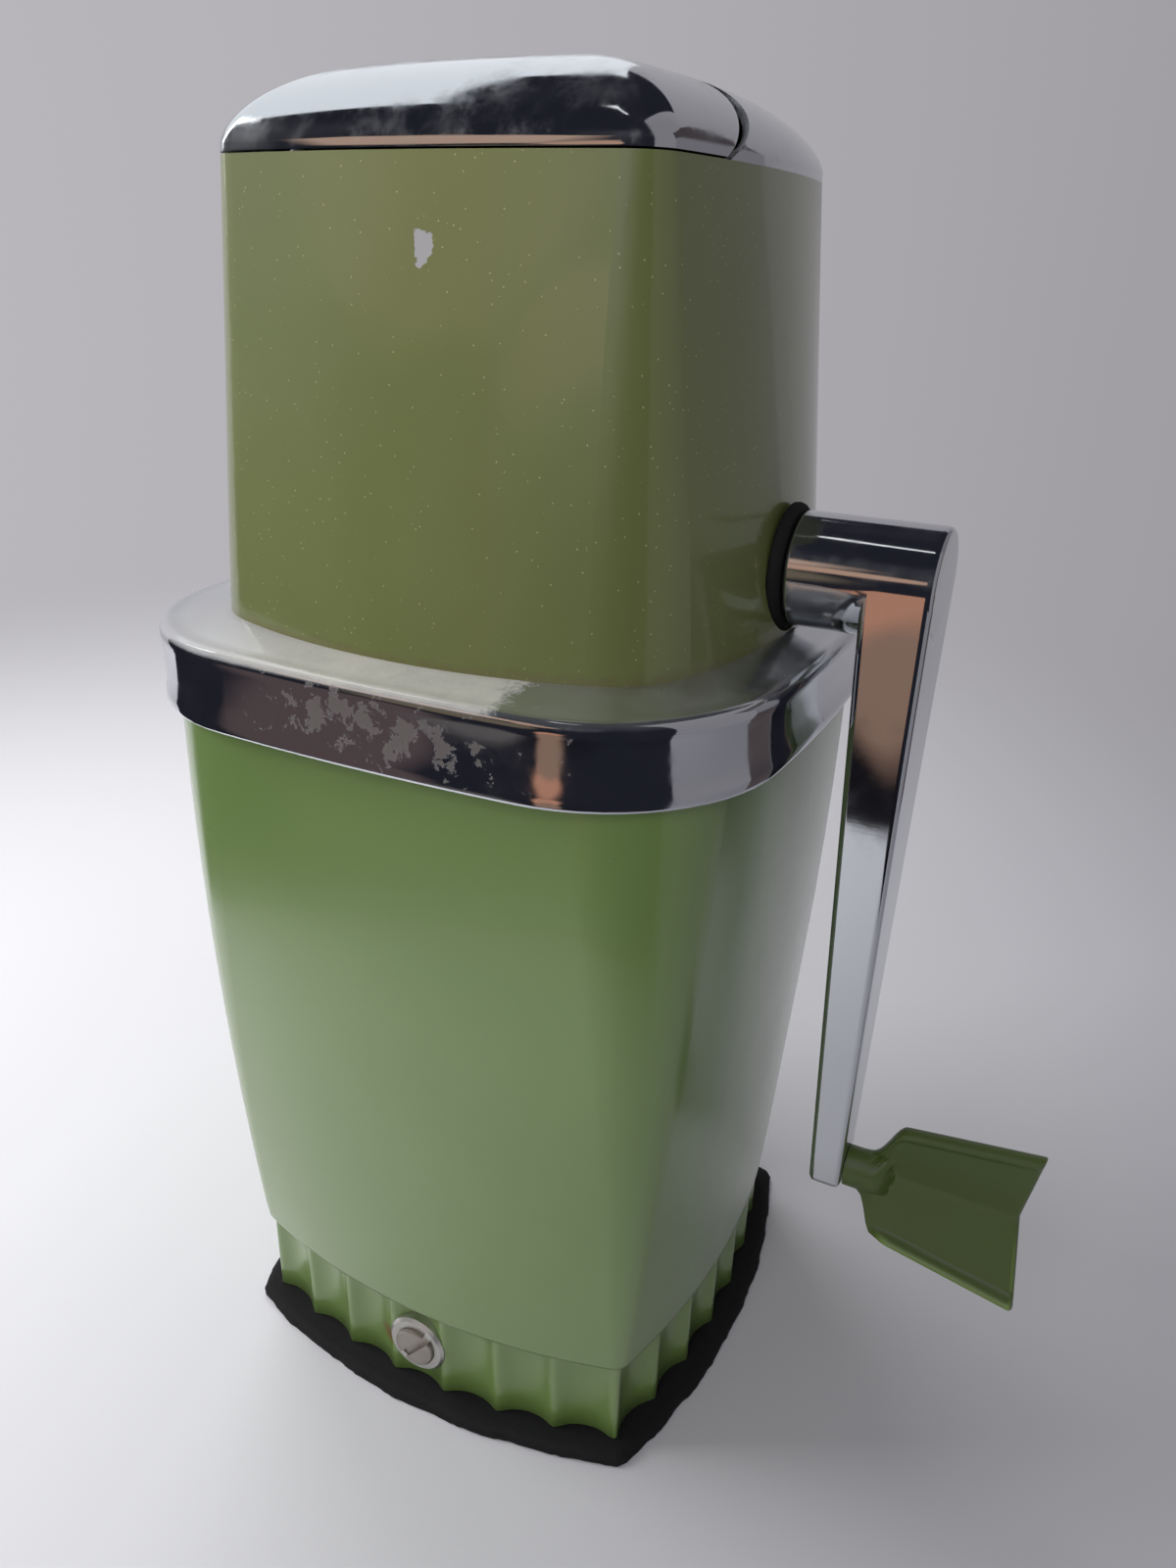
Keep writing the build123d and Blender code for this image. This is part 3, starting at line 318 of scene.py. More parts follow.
# %% Skins, cuts and joins
def skin(name, rings, closed=False, smooth_angle=35, body=None, replaces=()):
    """A mesh over a stack of equal rings, with both ends filled unless it is a closed loop."""
    count = len(rings[0])
    points = [p * MM for ring in rings for p in ring]
    faces = []
    for row in range(len(rings) - (0 if closed else 1)):
        a, b = row * count, (row + 1) % len(rings) * count
        faces += [(a + i, a + (i + 1) % count, b + (i + 1) % count, b + i) for i in range(count)]
    if not closed:
        faces += [tuple(reversed(range(count))), tuple(range((len(rings) - 1) * count, len(rings) * count))]
    mesh = bpy.data.meshes.new(name)
    mesh.from_pydata(points, [], faces)
    return finish_piece(name, mesh, smooth_angle, body, replaces)


def finish_piece(name, mesh, smooth_angle, body, replaces):
    """Tidy a mesh, shade it by angle, tie it to its body, and hide the CAD nodes it replaces."""
    work = bmesh.new()
    work.from_mesh(mesh)
    bmesh.ops.remove_doubles(work, verts=work.verts, dist=1e-6)
    bmesh.ops.recalc_face_normals(work, faces=work.faces)
    work.to_mesh(mesh)
    work.free()
    mesh.shade_smooth()
    mesh.set_sharp_from_angle(angle=math.radians(smooth_angle))
    made = bpy.data.objects.new(name, mesh)
    scene.collection.objects.link(made)
    if body:
        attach(made, body)
    if replaces:
        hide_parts(*replaces)
    return made


def bake(piece, smooth_angle):
    """Turn a piece with modifiers into its plain final mesh, shaded by angle."""
    bpy.context.view_layer.update()
    mesh = bpy.data.meshes.new_from_object(piece.evaluated_get(bpy.context.evaluated_depsgraph_get()))
    piece.modifiers.clear()
    piece.data = mesh
    mesh.shade_smooth()
    mesh.set_sharp_from_angle(angle=math.radians(smooth_angle))


def combine(piece, other, operation, smooth_angle):
    """Join another closed shape to a piece, or cut it out of the piece, and drop the other."""
    step = piece.modifiers.new(operation.lower(), "BOOLEAN")
    step.object, step.operation, step.solver = other, operation, "EXACT"
    bake(piece, smooth_angle)
    bpy.data.objects.remove(other)


def lathe(profile, centre, steps=64):
    """Rings in mm round an axis along X through a centre, from (x, radius) pairs."""
    return [[Vector((x, centre[0] + r * math.cos(a), centre[1] + r * math.sin(a)))
             for a in (math.tau * i / steps for i in range(steps))] for x, r in profile]


def rounded(start, corner, end, radius, steps=4):
    """Points of a fillet at a corner of a profile drawn as (inset, height) pairs."""
    start, corner, end = Vector(start), Vector(corner), Vector(end)
    a = corner + (start - corner).normalized() * radius
    b = corner + (end - corner).normalized() * radius
    shares = [i / steps for i in range(steps + 1)]
    return [tuple(a * (1 - s) ** 2 + corner * 2 * s * (1 - s) + b * s**2) for s in shares]


def between(low, high, share):
    """The value a share of the way from low to high."""
    return low + (high - low) * share


print("points in a small fillet:", len(rounded((0, 1), (0, 0), (1, 0), 0.5)))

# %% [markdown]
# ## Receptacle
# The lower body is one moulding of green plastic: a cup that narrows towards its
# foot, with a soft shoulder above a skirt of seven hollow flutes on each side.
# Rings give the taper exactly, and the flutes are the same rings pulled inwards.

# %% Receptacle with its fluted skirt
foot_top, shoulder_z, floor_z, rim_z = 2.6, 23.0, 25.5, 157.0
skirt_corner, skirt_bow, flute_count, ridge_land = 42.0, 6.9, 7, 0.8
wall, flute_depth, flute_width = 2.5, 1.9, 12
fine_side, fine_corner = flute_count * 14, 6


def receptacle_outline(z, inset):
    """The cup's outline at a height, drawn in by an inset."""
    share = (z - shoulder_z) / (rim_z - shoulder_z)
    corner = between(43.1, 50.15, 1 - (1 - max(share, 0)) ** 1.6) - inset
    radius = max(between(3.9, 21.5, share) - inset, 1.5)
    return bowed_outline(corner, between(6.8, 3.3, share), radius, fine_side, fine_corner)


def skirt_outline(inset, depth):
    """The skirt's outline, with its flutes pressed in by a depth."""
    plain = bowed_outline(skirt_corner - inset, skirt_bow, 1.0 if inset < 1 else 1.5, fine_side, fine_corner)
    points = []
    for index, (x, y) in enumerate(plain):
        along = index % (fine_side + fine_corner)
        push = 0
        if along < fine_side:
            share = (along / fine_side * flute_count) % 1 * 2 - 1
            push = depth * max(0, 1 - (abs(share) / (1 - ridge_land / flute_width)) ** 2.2)
        away = Vector((x, y)).normalized()
        # the push is square to the side, not to the centre
        side = index // (fine_side + fine_corner)
        square = Vector(((1, 0, -1, 0)[side], (0, 1, 0, -1)[side]))
        away = (away * 0.35 + square * 0.65).normalized()
        points.append((x - away.x * push, y - away.y * push))
    return points


floor_outline = receptacle_outline(floor_z, 3.1)
rings = [level_ring(floor_outline, floor_z, share) for share in (0.05, 0.5, 0.95, 1)]
rings += [level_ring(receptacle_outline(z, wall), z) for z in (floor_z + 0.6, 40, 60, 80, 100, 120, 140, 154)]
rim = ((wall, 156.4), (2.1, 157), (0.4, 157), (0, 156.6))
rings += [level_ring(receptacle_outline(rim_z, inset), z) for inset, z in rim]
outer_levels = [rim_z - (rim_z - shoulder_z) * (i / 26) for i in range(1, 26)]
rings += [level_ring(receptacle_outline(z, 0), z) for z in outer_levels]
shoulder = ((-0.02, 24.6), (0.02, 24.0), (0.18, 23.5), (0.45, 23.15), (0.8, 23.0))
rings += [level_ring(receptacle_outline(shoulder_z, inset), z) for inset, z in shoulder]
flute_tops = ((0.9, 23.0), (1.25, 22.7), (1.55, 22.0), (1.78, 21))
flutes = flute_tops + tuple((flute_depth, z) for z in (19, 13, 8, 2.9))
rings += [level_ring(skirt_outline(0, depth), z) for depth, z in flutes]
rings += [level_ring(skirt_outline(0.3, 1.8), foot_top), level_ring(skirt_outline(3.5, 0), foot_top)]
rings += [level_ring(skirt_outline(3.5, 0), shoulder_z, share) for share in (1, 0.5, 0.05)]
receptacle = skin(
    "receptacle", rings, body="base", replaces=["lower_body"], smooth_angle=50
)
print("receptacle faces:", len(receptacle.data.polygons))

# %% Seat of the stud
# the seat is cut square to the front, with a bore behind it: a lathed shape with X and Y swapped
stud_z, stud_seat_y = 13.5, -47.0
seat_profile = [(-60, 0.01), (-60, 6.52), (stud_seat_y, 6.52), (stud_seat_y, 5.62), (-41, 5.62), (-41, 0.01)]
seat_rings = [[Vector((p.y, p.x, p.z)) for p in ring] for ring in lathe(seat_profile, (0, stud_z), 48)]
combine(receptacle, skin("seat cutter", seat_rings), "DIFFERENCE", 50)
print("receptacle faces with the seat cut:", len(receptacle.data.polygons))

# %% [markdown]
# ## Rubber foot
# A thin moulded pad with a cut edge that was never trimmed cleanly. Its rings are
# pushed about by a smooth noise along the edge, which leaves the flat top alone.

# %% Rubber foot
underside = ((2, 0, 0.05), (2, 0, 0.5), (2, 0, 1), (0.5, 0, 1))
cut_edge = ((0, 0.35, 1), (0, 1.2, 1), (0.25, 1.9, 1), (0.9, 2.4, 1))
top_side = ((1.9, foot_top, 1), (1.9, foot_top, 0.8), (1.9, foot_top, 0.05))
rings = []
for inset, z, share in underside + cut_edge + top_side:
    outline = bowed_outline(45.3 - inset, 8.2, max(3.0 - inset, 0.8), 90, 10)
    ring = level_ring(outline, z, share)
    if inset < 1:
        for p in ring:
            slow = noise.noise(Vector((p.x * 0.16, p.y * 0.16, z * 0.2)))
            quick = noise.noise(Vector((p.x * 0.7, p.y * 0.7, z * 0.6)))
            outward = Vector((p.x, p.y, 0)).normalized()
            p -= outward * (0.45 + 0.55 * (slow + 0.5 * quick))
    rings.append(ring)
foot = skin("rubber_foot", rings, body="base", replaces=["suction_foot"])
print("foot faces:", len(foot.data.polygons))

# %% [markdown]
# ## Bright collar
# The collar is one chromed band with a level ledge on top that runs in to the
# housing, a tall face and a small rolled lip at the bottom. It is a closed loop of
# rings, so its profile can be rounded wherever the real one is.

# %% Bright collar
collar_bottom, ledge_z, housing_z = 145.2, 158.7, 160.2
# the ledge starts here, as an inset from the face and a height
ledge_start_inset, ledge_start_z = 2.6, 159.05


def collar_outline(inset):
    """The collar's outline, drawn in by an inset from its face."""
    return bowed_outline(54.5 - inset, 3.6, 32.0 - inset)


lip = [(1.1, collar_bottom)] + rounded((1.1, collar_bottom), (0, collar_bottom), (0, 150), 0.7)
tall_face = [(0.1, 147.2), (0.28, 148.2), (0.34, 151), (0.3, 154), (0.15, 156.3)]
rolled_top = rounded((0.1, 156.4), (0, 158.9), (2.4, 159.2), 1.9, 7) + [(ledge_start_inset, ledge_start_z)]
rings = [level_ring(collar_outline(inset), z) for inset, z in lip + tall_face + rolled_top]
crown_start, crown_end = collar_outline(ledge_start_inset), bowed_outline(41.0, 8.6, 19.4)
for share in (0.2, 0.4, 0.6, 0.8, 0.94):
    z = between(ledge_start_z, housing_z, share**0.9)
    rings.append([Vector((between(a[0], b[0], share), between(a[1], b[1], share), z))
                  for a, b in zip(crown_start, crown_end)])
rings.append(level_ring(crown_end, housing_z))
# the window over the crusher frame is a square outline, stretched to an oblong
window = [(x * 31.2 / 30, y * 27.2 / 30) for x, y in bowed_outline(30, 0.02, 0.6)]
rings += [level_ring(window, housing_z), level_ring(window, ledge_z)]
rings += [level_ring(bowed_outline(49.5, 3.4, 20.7), z) for z in (ledge_z, 157.4)]
rings += [level_ring(collar_outline(1.5), z) for z in (157.4, 146.0)]
collar = skin(
    "bright_collar", rings, closed=True, body="head", replaces=["collar_band"], smooth_angle=40
)
print("collar faces:", len(collar.data.polygons))

# %% [markdown]
# ## Two-part lid
# The lid is pressed sheet: a low dome over the same bowed plan, split into a flap
# in front and a fixed cap behind. Shrinking rings give the dome, the seam is a
# straight cut through it, and the cap's edge is drawn back along the seam into a
# slim crescent, which is the dark sickle seen on the real one.

# %% Mouth and seam of the lid
mouth_z, lid_height, lid_band = 230.0, 14.1, 1.3
mouth = bowed_outline(36.7, 3.7, 7.2, 40, 16)
mouth_by_angle = sorted((math.atan2(y, x), math.hypot(x, y)) for x, y in mouth)
mouth_by_angle = [(mouth_by_angle[-1][0] - math.tau, mouth_by_angle[-1][1])] + mouth_by_angle
mouth_by_angle.append((mouth_by_angle[1][0] + math.tau, mouth_by_angle[1][1]))


def mouth_reach(angle):
    """How far the mouth's outline is from the centre in one direction."""
    for (a, ra), (b, rb) in zip(mouth_by_angle, mouth_by_angle[1:]):
        if a <= angle <= b:
            return between(ra, rb, (angle - a) / max(b - a, 1e-9))
    return mouth_by_angle[-1][1]


seam_foot, seam_head = Vector((0, -19.0, mouth_z)), Vector((0, 1.5, mouth_z + lid_height))
seam_run = seam_head - seam_foot
seam_normal = Vector((0, seam_run.z, -seam_run.y)).normalized()
print("seam leans", round(math.degrees(math.atan2(seam_run.z, seam_run.y))), "degrees from level")

# %% [markdown]
# ## The two halves
# Each half starts as the whole dome, is cut at the seam, and gets the thickness of
# its sheet from a modifier. A cylinder is then cut away round the hinge's knuckles,
# and the edges are rolled last, so that the new edges are rolled too.

# %% Lid halves
seam_gap, crescent_depth, sheet, dome_rows = 0.4, 2.6, 1.2, 30
hinge_axis, knuckle_half, knuckle_radius = (1.5, 243.8), 10.7, 2.2
knuckle_room = [(-knuckle_half, 0.01), (-knuckle_half, knuckle_radius)]
knuckle_room += [(knuckle_half, knuckle_radius), (knuckle_half, 0.01)]


def crescent(z, side):
    """How far the cap's edge is drawn back from the seam at a height."""
    share = min(max((z - mouth_z) / lid_height, 0), 1)
    return crescent_depth * math.sin(math.pi * share) ** 1.1 if side > 0 else 0


def dome_mesh(name, low_z):
    """The whole dome over the mouth, as rings that shrink to a point."""
    turns = [math.radians(90) * (i / dome_rows) ** 1.15 for i in range(dome_rows)]
    rings = [level_ring(mouth, low_z), level_ring(mouth, low_z + 0.35), level_ring(mouth, mouth_z + lid_band)]
    for turn in turns[1:]:
        z = mouth_z + lid_band + (lid_height - lid_band) * math.sin(turn) ** 1.3
        rings.append(level_ring(mouth, z, math.cos(turn) ** 0.6))
    count = len(mouth)
    points = [p for ring in rings for p in ring] + [Vector((0, 0, mouth_z + lid_height))]
    faces = [(r * count + i, r * count + (i + 1) % count, (r + 1) * count + (i + 1) % count, (r + 1) * count + i)
             for r in range(len(rings) - 1) for i in range(count)]
    last = (len(rings) - 1) * count
    faces += [(last + i, last + (i + 1) % count, len(points) - 1) for i in range(count)]
    mesh = bpy.data.meshes.new(name)
    mesh.from_pydata(points, [], faces)
    return mesh


def lid_half(name, side, low_z, body, node):
    """One half of the lid: -1 is the flap in front of the seam, 1 the cap behind it."""
    mesh = dome_mesh(name, low_z)
    work = bmesh.new()
    work.from_mesh(mesh)
    everything = work.verts[:] + work.edges[:] + work.faces[:]
    cut_at = seam_foot + seam_normal * side * seam_gap
    # the cap is sheared by the crescent, cut by the plane, and sheared back, so its edge stays clean
    for v in work.verts:
        v.co.y -= crescent(v.co.z, side)
    bmesh.ops.bisect_plane(work, geom=everything, plane_co=cut_at, plane_no=seam_normal * -side, clear_outer=True)
    for v in work.verts:
        v.co.y += crescent(v.co.z, side)
    bmesh.ops.remove_doubles(work, verts=work.verts, dist=0.06)
    work.to_mesh(mesh)
    work.free()
    made = finish_piece(name, mesh, 60, body, [node])
    mesh.transform(Matrix.Scale(MM, 4))
    # the second slot is for the cut edges, which are painted dark as shade in the seam
    mesh.materials.append(None)
    mesh.materials.append(None)
    shell = made.modifiers.new("sheet", "SOLIDIFY")
    shell.thickness = sheet * MM
    shell.offset = -1
    shell.material_offset_rim = 1
    combine(made, skin("knuckle cutter", lathe(knuckle_room, hinge_axis, 32)), "DIFFERENCE", 50)
    rolled = made.modifiers.new("rolled edge", "BEVEL")
    rolled.width, rolled.segments = 0.3 * MM, 3
    rolled.limit_method, rolled.angle_limit = "ANGLE", math.radians(60)
    bake(made, 50)
    return made


flap = lid_half("lid_flap", -1, mouth_z + 0.3, "lid", "front_lid")
rear_cap = lid_half("lid_rear_cap", 1, mouth_z, "head", "rear_cap")
print("lid halves:", len(flap.data.polygons), len(rear_cap.data.polygons), "faces")

# %% [markdown]
# ## Crank
# The crank is one casting, polished and chromed: a round hub, and a flat arm that
# is deep at the hub and slim at the grip. The two are made as closed shapes with
# rounded edges, and joined into one.

# %% Crank
axis_z, pin_z = 171.0, 52.5
hub_start, hub_end, hub_radius, bore_radius, bore_depth = 49.51, 73.61, 9.5, 5.02, 12.5
arm_thick_tip, arm_thick_hub, arm_end, arm_half_tip, arm_bottom = 6.3, 11.4, 71.61, 4.7, 48.9

bore = [(hub_start + bore_depth, 2), (hub_start + bore_depth, bore_radius), (hub_start, bore_radius)]
near_edge = [(hub_start, 8.9), (hub_start + 0.2, 9.3), (hub_start + 0.6, hub_radius)]
# support rings keep the long side of the hub straight in its reflections
side = [(hub_start + x, hub_radius) for x in (0.8, 6, 12, 18)] + [(hub_end - 1.3, hub_radius)]
far_edge = [(hub_end - 1.0, hub_radius), (hub_end - 0.45, 9.35), (hub_end - 0.1, 8.9), (hub_end, 8.3), (hub_end, 3)]
hub_rings = lathe(bore + near_edge + side + far_edge, (0, axis_z))
hub = skin("crank", hub_rings, body="rotor", replaces=["crank_arm"])


def arm_ring(share, shrink=0.0):
    """The arm's rounded rectangle, a share of the way from its tip to the hub."""
    inner = between(arm_end - arm_thick_tip, hub_end - arm_thick_hub, share) + shrink
    outer = between(arm_end, hub_end, share) - shrink
    half = between(arm_half_tip, hub_radius, share) - shrink
    edge = 1.25 - shrink * 0.6
    right_x, left_x, high_y = outer - edge, inner + edge, half - edge
    corners = ((right_x, high_y, 0), (left_x, high_y, 90), (left_x, -high_y, 180), (right_x, -high_y, 270))
    return [(cx + edge * math.cos(a), cy + edge * math.sin(a))
            for cx, cy, start in corners for a in (math.radians(start + 15 * i) for i in range(7))]


levels = [(arm_bottom, 1.4), (arm_bottom + 0.25, 0.7), (arm_bottom + 0.8, 0.2), (arm_bottom + 1.6, 0)]
levels += [(between(arm_bottom + 1.6, axis_z, i / 16), 0) for i in range(1, 17)]
arm_rings = [level_ring(arm_ring((z - arm_bottom) / (axis_z - arm_bottom), shrink), z) for z, shrink in levels]
combine(hub, skin("arm", arm_rings), "UNION", 28)
# big flat faces set the normals, so the arm mirrors like a flat
flat = hub.modifiers.new("flat faces stay flat", "WEIGHTED_NORMAL")
flat.keep_sharp = True
print("crank faces:", len(hub.data.polygons))

# %% [markdown]
# ## Grip
# The grip is a folded paddle of green plastic: two flat wings that lean out of a
# crease, a round neck, shoulders that flare in a soft S, and a thick bead along the
# outer edges. One grid is bent to that shape, front and back.

# %% Grip
grip_start, grip_end, notch_depth = 71.81, 107.3, 2.4
neck_half, wing_reach, wing_lean, round_edge = 4.3, 18.3, 4.6 / 18.3, 0.7
# where the shoulder starts and ends, for the upper and the lower wing
shoulders = {1: (76.2, 82.2), -1: (74.2, 78.6)}


def soft_step(share):
    """A step from 0 to 1 that starts and ends level."""
    share = min(max(share, 0), 1)
    return share * share * (3 - 2 * share)


def wing_half(x, side):
    """Half the paddle's height at a place along the pin's axis, on one wing."""
    start, corner = shoulders[side]
    return between(neck_half, wing_reach - 0.162 * (grip_end - x), soft_step((x - start) / (corner - start)))


def bead_height(x, from_edge, v):
    """How far the bead stands up, from 0 to 1: full on the lower wing, faint on the upper."""
    hump = max(0.0, math.cos(math.pi / 2 * min(abs(from_edge - 1.3) / 1.4, 1)))
    return hump * soft_step((x - 78) / 4) * (0.3 if v > 0 else 1)


def paddle_point(s, v, face):
    """A point of the paddle: s from neck to end, v from lower to upper edge, face 1 in front."""
    end = grip_end - notch_depth * (1 - abs(v))
    x = between(grip_start, end, s)
    half = wing_half(x, 1 if v > 0 else -1)
    z = v * half
    crease = math.sqrt(z * z + 0.5) - math.sqrt(0.5)
    from_edge = (1 - abs(v)) * half
    thick = 1.2 + 1.7 * bead_height(x, from_edge, v) * (face == 1)
    edge = min(from_edge, (1 - s) * (end - grip_start) + 0.001)
    if edge < round_edge:
        thick *= math.sqrt(max(0.0, 1 - (1 - edge / round_edge) ** 2))
    sheet_y = 1.9 - wing_lean * crease - face * thick
    # the neck is a short round bar, and a boss round the pin fades into the crease
    bar = 3.7 * math.sqrt(1 - v * v)
    y = between(-face * bar, sheet_y, soft_step((x - 74.0) / 3.5))
    boss_width = math.sqrt(max(0.0, 1 - (z / neck_half) ** 2))
    boss = 3.5 * boss_width * math.sqrt(max(0.0, 1 - max(x - 77.0, 0) ** 2 / 12))
    if boss > 0:
        y = min(y, -boss) if face == 1 else max(y, boss * 0.9)
    return Vector((x, y, pin_z + z))


# sines crowd the grid's lines together at the edges and at the end
steps_across, steps_along = 64, 60
grid = []
for row in range(steps_along + 1):
    s = math.sin(math.pi / 2 * row / steps_along)
    grid.append([paddle_point(s, math.sin(math.pi / 2 * (i / steps_across * 2 - 1)) * face, face)
                 for face in (1, -1) for i in range(steps_across + 1)])
paddle = skin("grip", grid, body="grip", replaces=["grip_paddle"], smooth_angle=60)
bore_start, bore_end, pin_radius = grip_start - 1, grip_start + 5.6, 2.05
pin_bore = [(bore_start, 0.01), (bore_start, pin_radius), (bore_end, pin_radius), (bore_end, 0.01)]
combine(paddle, skin("pin bore", lathe(pin_bore, (0, pin_z), 32)), "DIFFERENCE", 50)
print("grip faces:", len(paddle.data.polygons))

# %% [markdown]
# ## Gasket
# A soft black ring fills the gap between the hub and the housing. It is turned like
# the hub, as a closed loop of rings with a rounded outer edge.

# %% Gasket
seat, gasket_bore = 47.21, 5.6
outer_edge = ((0, 10.1), (0.3, 10.5), (0.9, 10.6), (1.5, 10.4), (1.95, 9.9), (2.1, 9.3))
gasket_profile = [(seat, gasket_bore)] + [(seat + x, r) for x, r in outer_edge] + [(seat + 2.1, gasket_bore)]
gasket_rings = lathe(gasket_profile, (0, axis_z))
gasket = skin(
    "gasket_ring", gasket_rings, closed=True, body="head", replaces=["shaft_gasket"]
)
print("gasket faces:", len(gasket.data.polygons))

# %% [markdown]
# ## Finishes
# Each finish is named for what the real part is made of, and each pattern is scaled
# from a size in millimetres. Patterns use the piece's own space, so they stay on it
# when it moves.
#
# ## Enamel
# The housing is sheet metal with paint baked on it. A clear coat over the colour
# gives the sharp reflection over a softer body. Dust, a chip and grime in the
# corner are drawn by noise and by distance from a place, since no picture is used.

# %% Stove enamel on the housing
# Baked enamel over sheet metal: glossy, slightly uneven like orange peel, with
# pale dust, a chip that shows bare metal, and grime where it meets the collar.
enamel, tree, shader = new_material(
    "olive stove enamel", "#626a3c", 0, 0.3, IOR=1.52, Coat_Weight=0.8, Coat_Roughness=0.06
)
spot = add(tree, "TexCoord").outputs["Object"]
peel = add(tree, "TexNoise", {"Scale": per(2.2), "Detail": 2}, {"Vector": spot})
mottle = add(tree, "TexNoise", {"Scale": per(30), "Detail": 4}, {"Vector": spot})
tint = add(tree, "Mix", {"data_type": "RGBA", 6: "#5c6436", 7: "#687042"}, {0: mottle})
# dust specks are drawn coarser than real dust, which would not show
dust = add(tree, "TexVoronoi", {"Scale": per(1.5)}, {"Vector": spot})
specks = add(tree, "MapRange", {"From Min": 0.04, "From Max": 0.11, "To Min": 0.75, "To Max": 0}, {"Value": dust})
dusty = add(tree, "Mix", {"data_type": "RGBA", 7: "#b3ae86"}, {0: specks, 6: tint})
split = add(tree, "SeparateXYZ", links={0: spot})
ragged = add(tree, "TexNoise", {"Scale": per(2.5), "Detail": 4}, {"Vector": spot})
# grime sits in the corner just above the collar, with a ragged upper edge
height = add(tree, "Math", {"operation": "MULTIPLY_ADD", 1: -0.0035}, {0: ragged, 2: split.outputs["Z"]})
corner_span = {"From Min": 0.1588, "From Max": 0.1602, "To Min": 0.45, "To Max": 0}
grime = add(tree, "MapRange", corner_span, {"Value": height})
dirty = add(tree, "Mix", {"data_type": "RGBA", 7: "#5f5539"}, {0: grime, 6: dusty})
# the chip is a ragged, tall blot round one place high on the front
chip_place = add(tree, "VectorMath", {"operation": "SUBTRACT", 1: (0.0045, -0.0425, 0.2182)}, {0: spot})
chip_shape = add(tree, "VectorMath", {"operation": "MULTIPLY", 1: (1.5, 0.5, 1.2)}, {0: chip_place})
chip_reach = add(tree, "VectorMath", {"operation": "LENGTH"}, {0: chip_shape})
chip_edge = add(tree, "Math", {"operation": "MULTIPLY_ADD", 1: -0.006}, {0: ragged, 2: chip_reach})
chip_span = {"From Min": -0.0006, "From Max": -0.0004, "To Min": 1, "To Max": 0}
chip = add(tree, "MapRange", chip_span, {"Value": chip_edge})
final = add(tree, "Mix", {"data_type": "RGBA", 7: "#97989b"}, {0: chip, 6: dirty})
relief = add(tree, "Math", {"operation": "MULTIPLY_ADD", 1: -3.0}, {0: chip, 2: peel})
bump = add(tree, "Bump", {"Strength": 0.25, "Distance": 0.04 * MM}, {"Height": relief})
feed(tree, shader, {"Base Color": final, "Normal": bump})
print("nodes in the enamel:", len(tree.nodes))

# %% [markdown]
# ## Moulded plastic
# The receptacle and the grip are injection-moulded styrene. The colour goes right
# through, so wear doesn't show another colour below, only darker marks. The paler
# tone along the grip's lower bead is a painted highlight.
# One function makes both, since they differ only in their numbers.

# %% Moulded plastic of the receptacle and the grip
# Moulded styrene: softly glossy from a polished mould, with a broad, dim highlight
# and faint rub marks from handling.


def moulded_plastic(name, dark, light, roughness, gloss, mark_colour, rust_place=None, bead_highlight_colour=None):
    """Green plastic, with a rust stain at a place in mm, or a painted highlight on the lower bead's raised edges.
    """
    made, tree, shader = new_material(name, dark, 0, roughness, IOR=1.57, Coat_Weight=gloss, Coat_Roughness=0.2)
    spot = add(tree, "TexCoord").outputs["Object"]
    cloud = add(tree, "TexNoise", {"Scale": per(45), "Detail": 3}, {"Vector": spot})
    tint = add(tree, "Mix", {"data_type": "RGBA", 6: dark, 7: light}, {0: cloud})
    marks = add(tree, "TexNoise", {"Scale": per(7), "Detail": 5, "Roughness": 0.65}, {"Vector": spot})
    dots = add(tree, "MapRange", {"From Min": 0.72, "From Max": 0.76, "To Max": 0.7}, {"Value": marks})
    marked = add(tree, "Mix", {"data_type": "RGBA", 7: mark_colour}, {0: dots, 6: tint})
    if bead_highlight_colour:
        # the raised edges of the lower bead are painted paler, as a painted highlight where the edge catches the
        # light
        shape = add(tree, "NewGeometry")
        height = add(tree, "SeparateXYZ", links={0: spot})
        low_part = {"From Min": 0.05, "From Max": 0.045, "To Max": 0.6}
        lower_wing_share = add(tree, "MapRange", low_part, {"Value": height.outputs["Z"]})
        edges = {"Value": shape.outputs["Pointiness"], "To Max": lower_wing_share}
        painted_bead_highlight = add(tree, "MapRange", {"From Min": 0.505, "From Max": 0.55}, edges)
        marked = add(tree, "Mix", {"data_type": "RGBA", 7: bead_highlight_colour}, {0: painted_bead_highlight, 6: marked})
    if rust_place:
        away = add(tree, "VectorMath", {"operation": "DISTANCE", 1: Vector(rust_place) * MM}, {0: spot})
        ragged = add(tree, "Math", {"operation": "MULTIPLY_ADD", 1: 0.003}, {0: marks, 2: away})
        stain_span = {"From Min": 0.0032, "From Max": 0.0048, "To Min": 0.85, "To Max": 0}
        rust = add(tree, "MapRange", stain_span, {"Value": ragged})
        marked = add(tree, "Mix", {"data_type": "RGBA", 7: "#6d4128"}, {0: rust, 6: marked})
    haze = add(tree, "TexNoise", {"Scale": per(18), "Detail": 6, "Roughness": 0.7}, {"Vector": spot})
    rub = add(tree, "MapRange", {"To Min": roughness - 0.05, "To Max": roughness + 0.08}, {"Value": haze})
    skin_waves = add(tree, "TexNoise", {"Scale": per(5), "Detail": 3}, {"Vector": spot})
    bump = add(tree, "Bump", {"Strength": 0.3, "Distance": 0.06 * MM}, {"Height": skin_waves})
    feed(tree, shader, {"Base Color": marked, "Roughness": rub, "Normal": bump})
    return made


receptacle_plastic = moulded_plastic(
    "moulded styrene receptacle", "#5b7438", "#667f42", 0.36, 1.0, "#4a5b34", rust_place=(-8.9, -49.6, 11.2)
)
# the grip's lower bead gets a painted highlight in a paler green
grip_plastic = moulded_plastic("moulded styrene grip", "#3b4a15", "#465620", 0.4, 0.06, "#29330f", bead_highlight_colour="#7f9d48")
print("plastics:", receptacle_plastic.name, "and", grip_plastic.name)
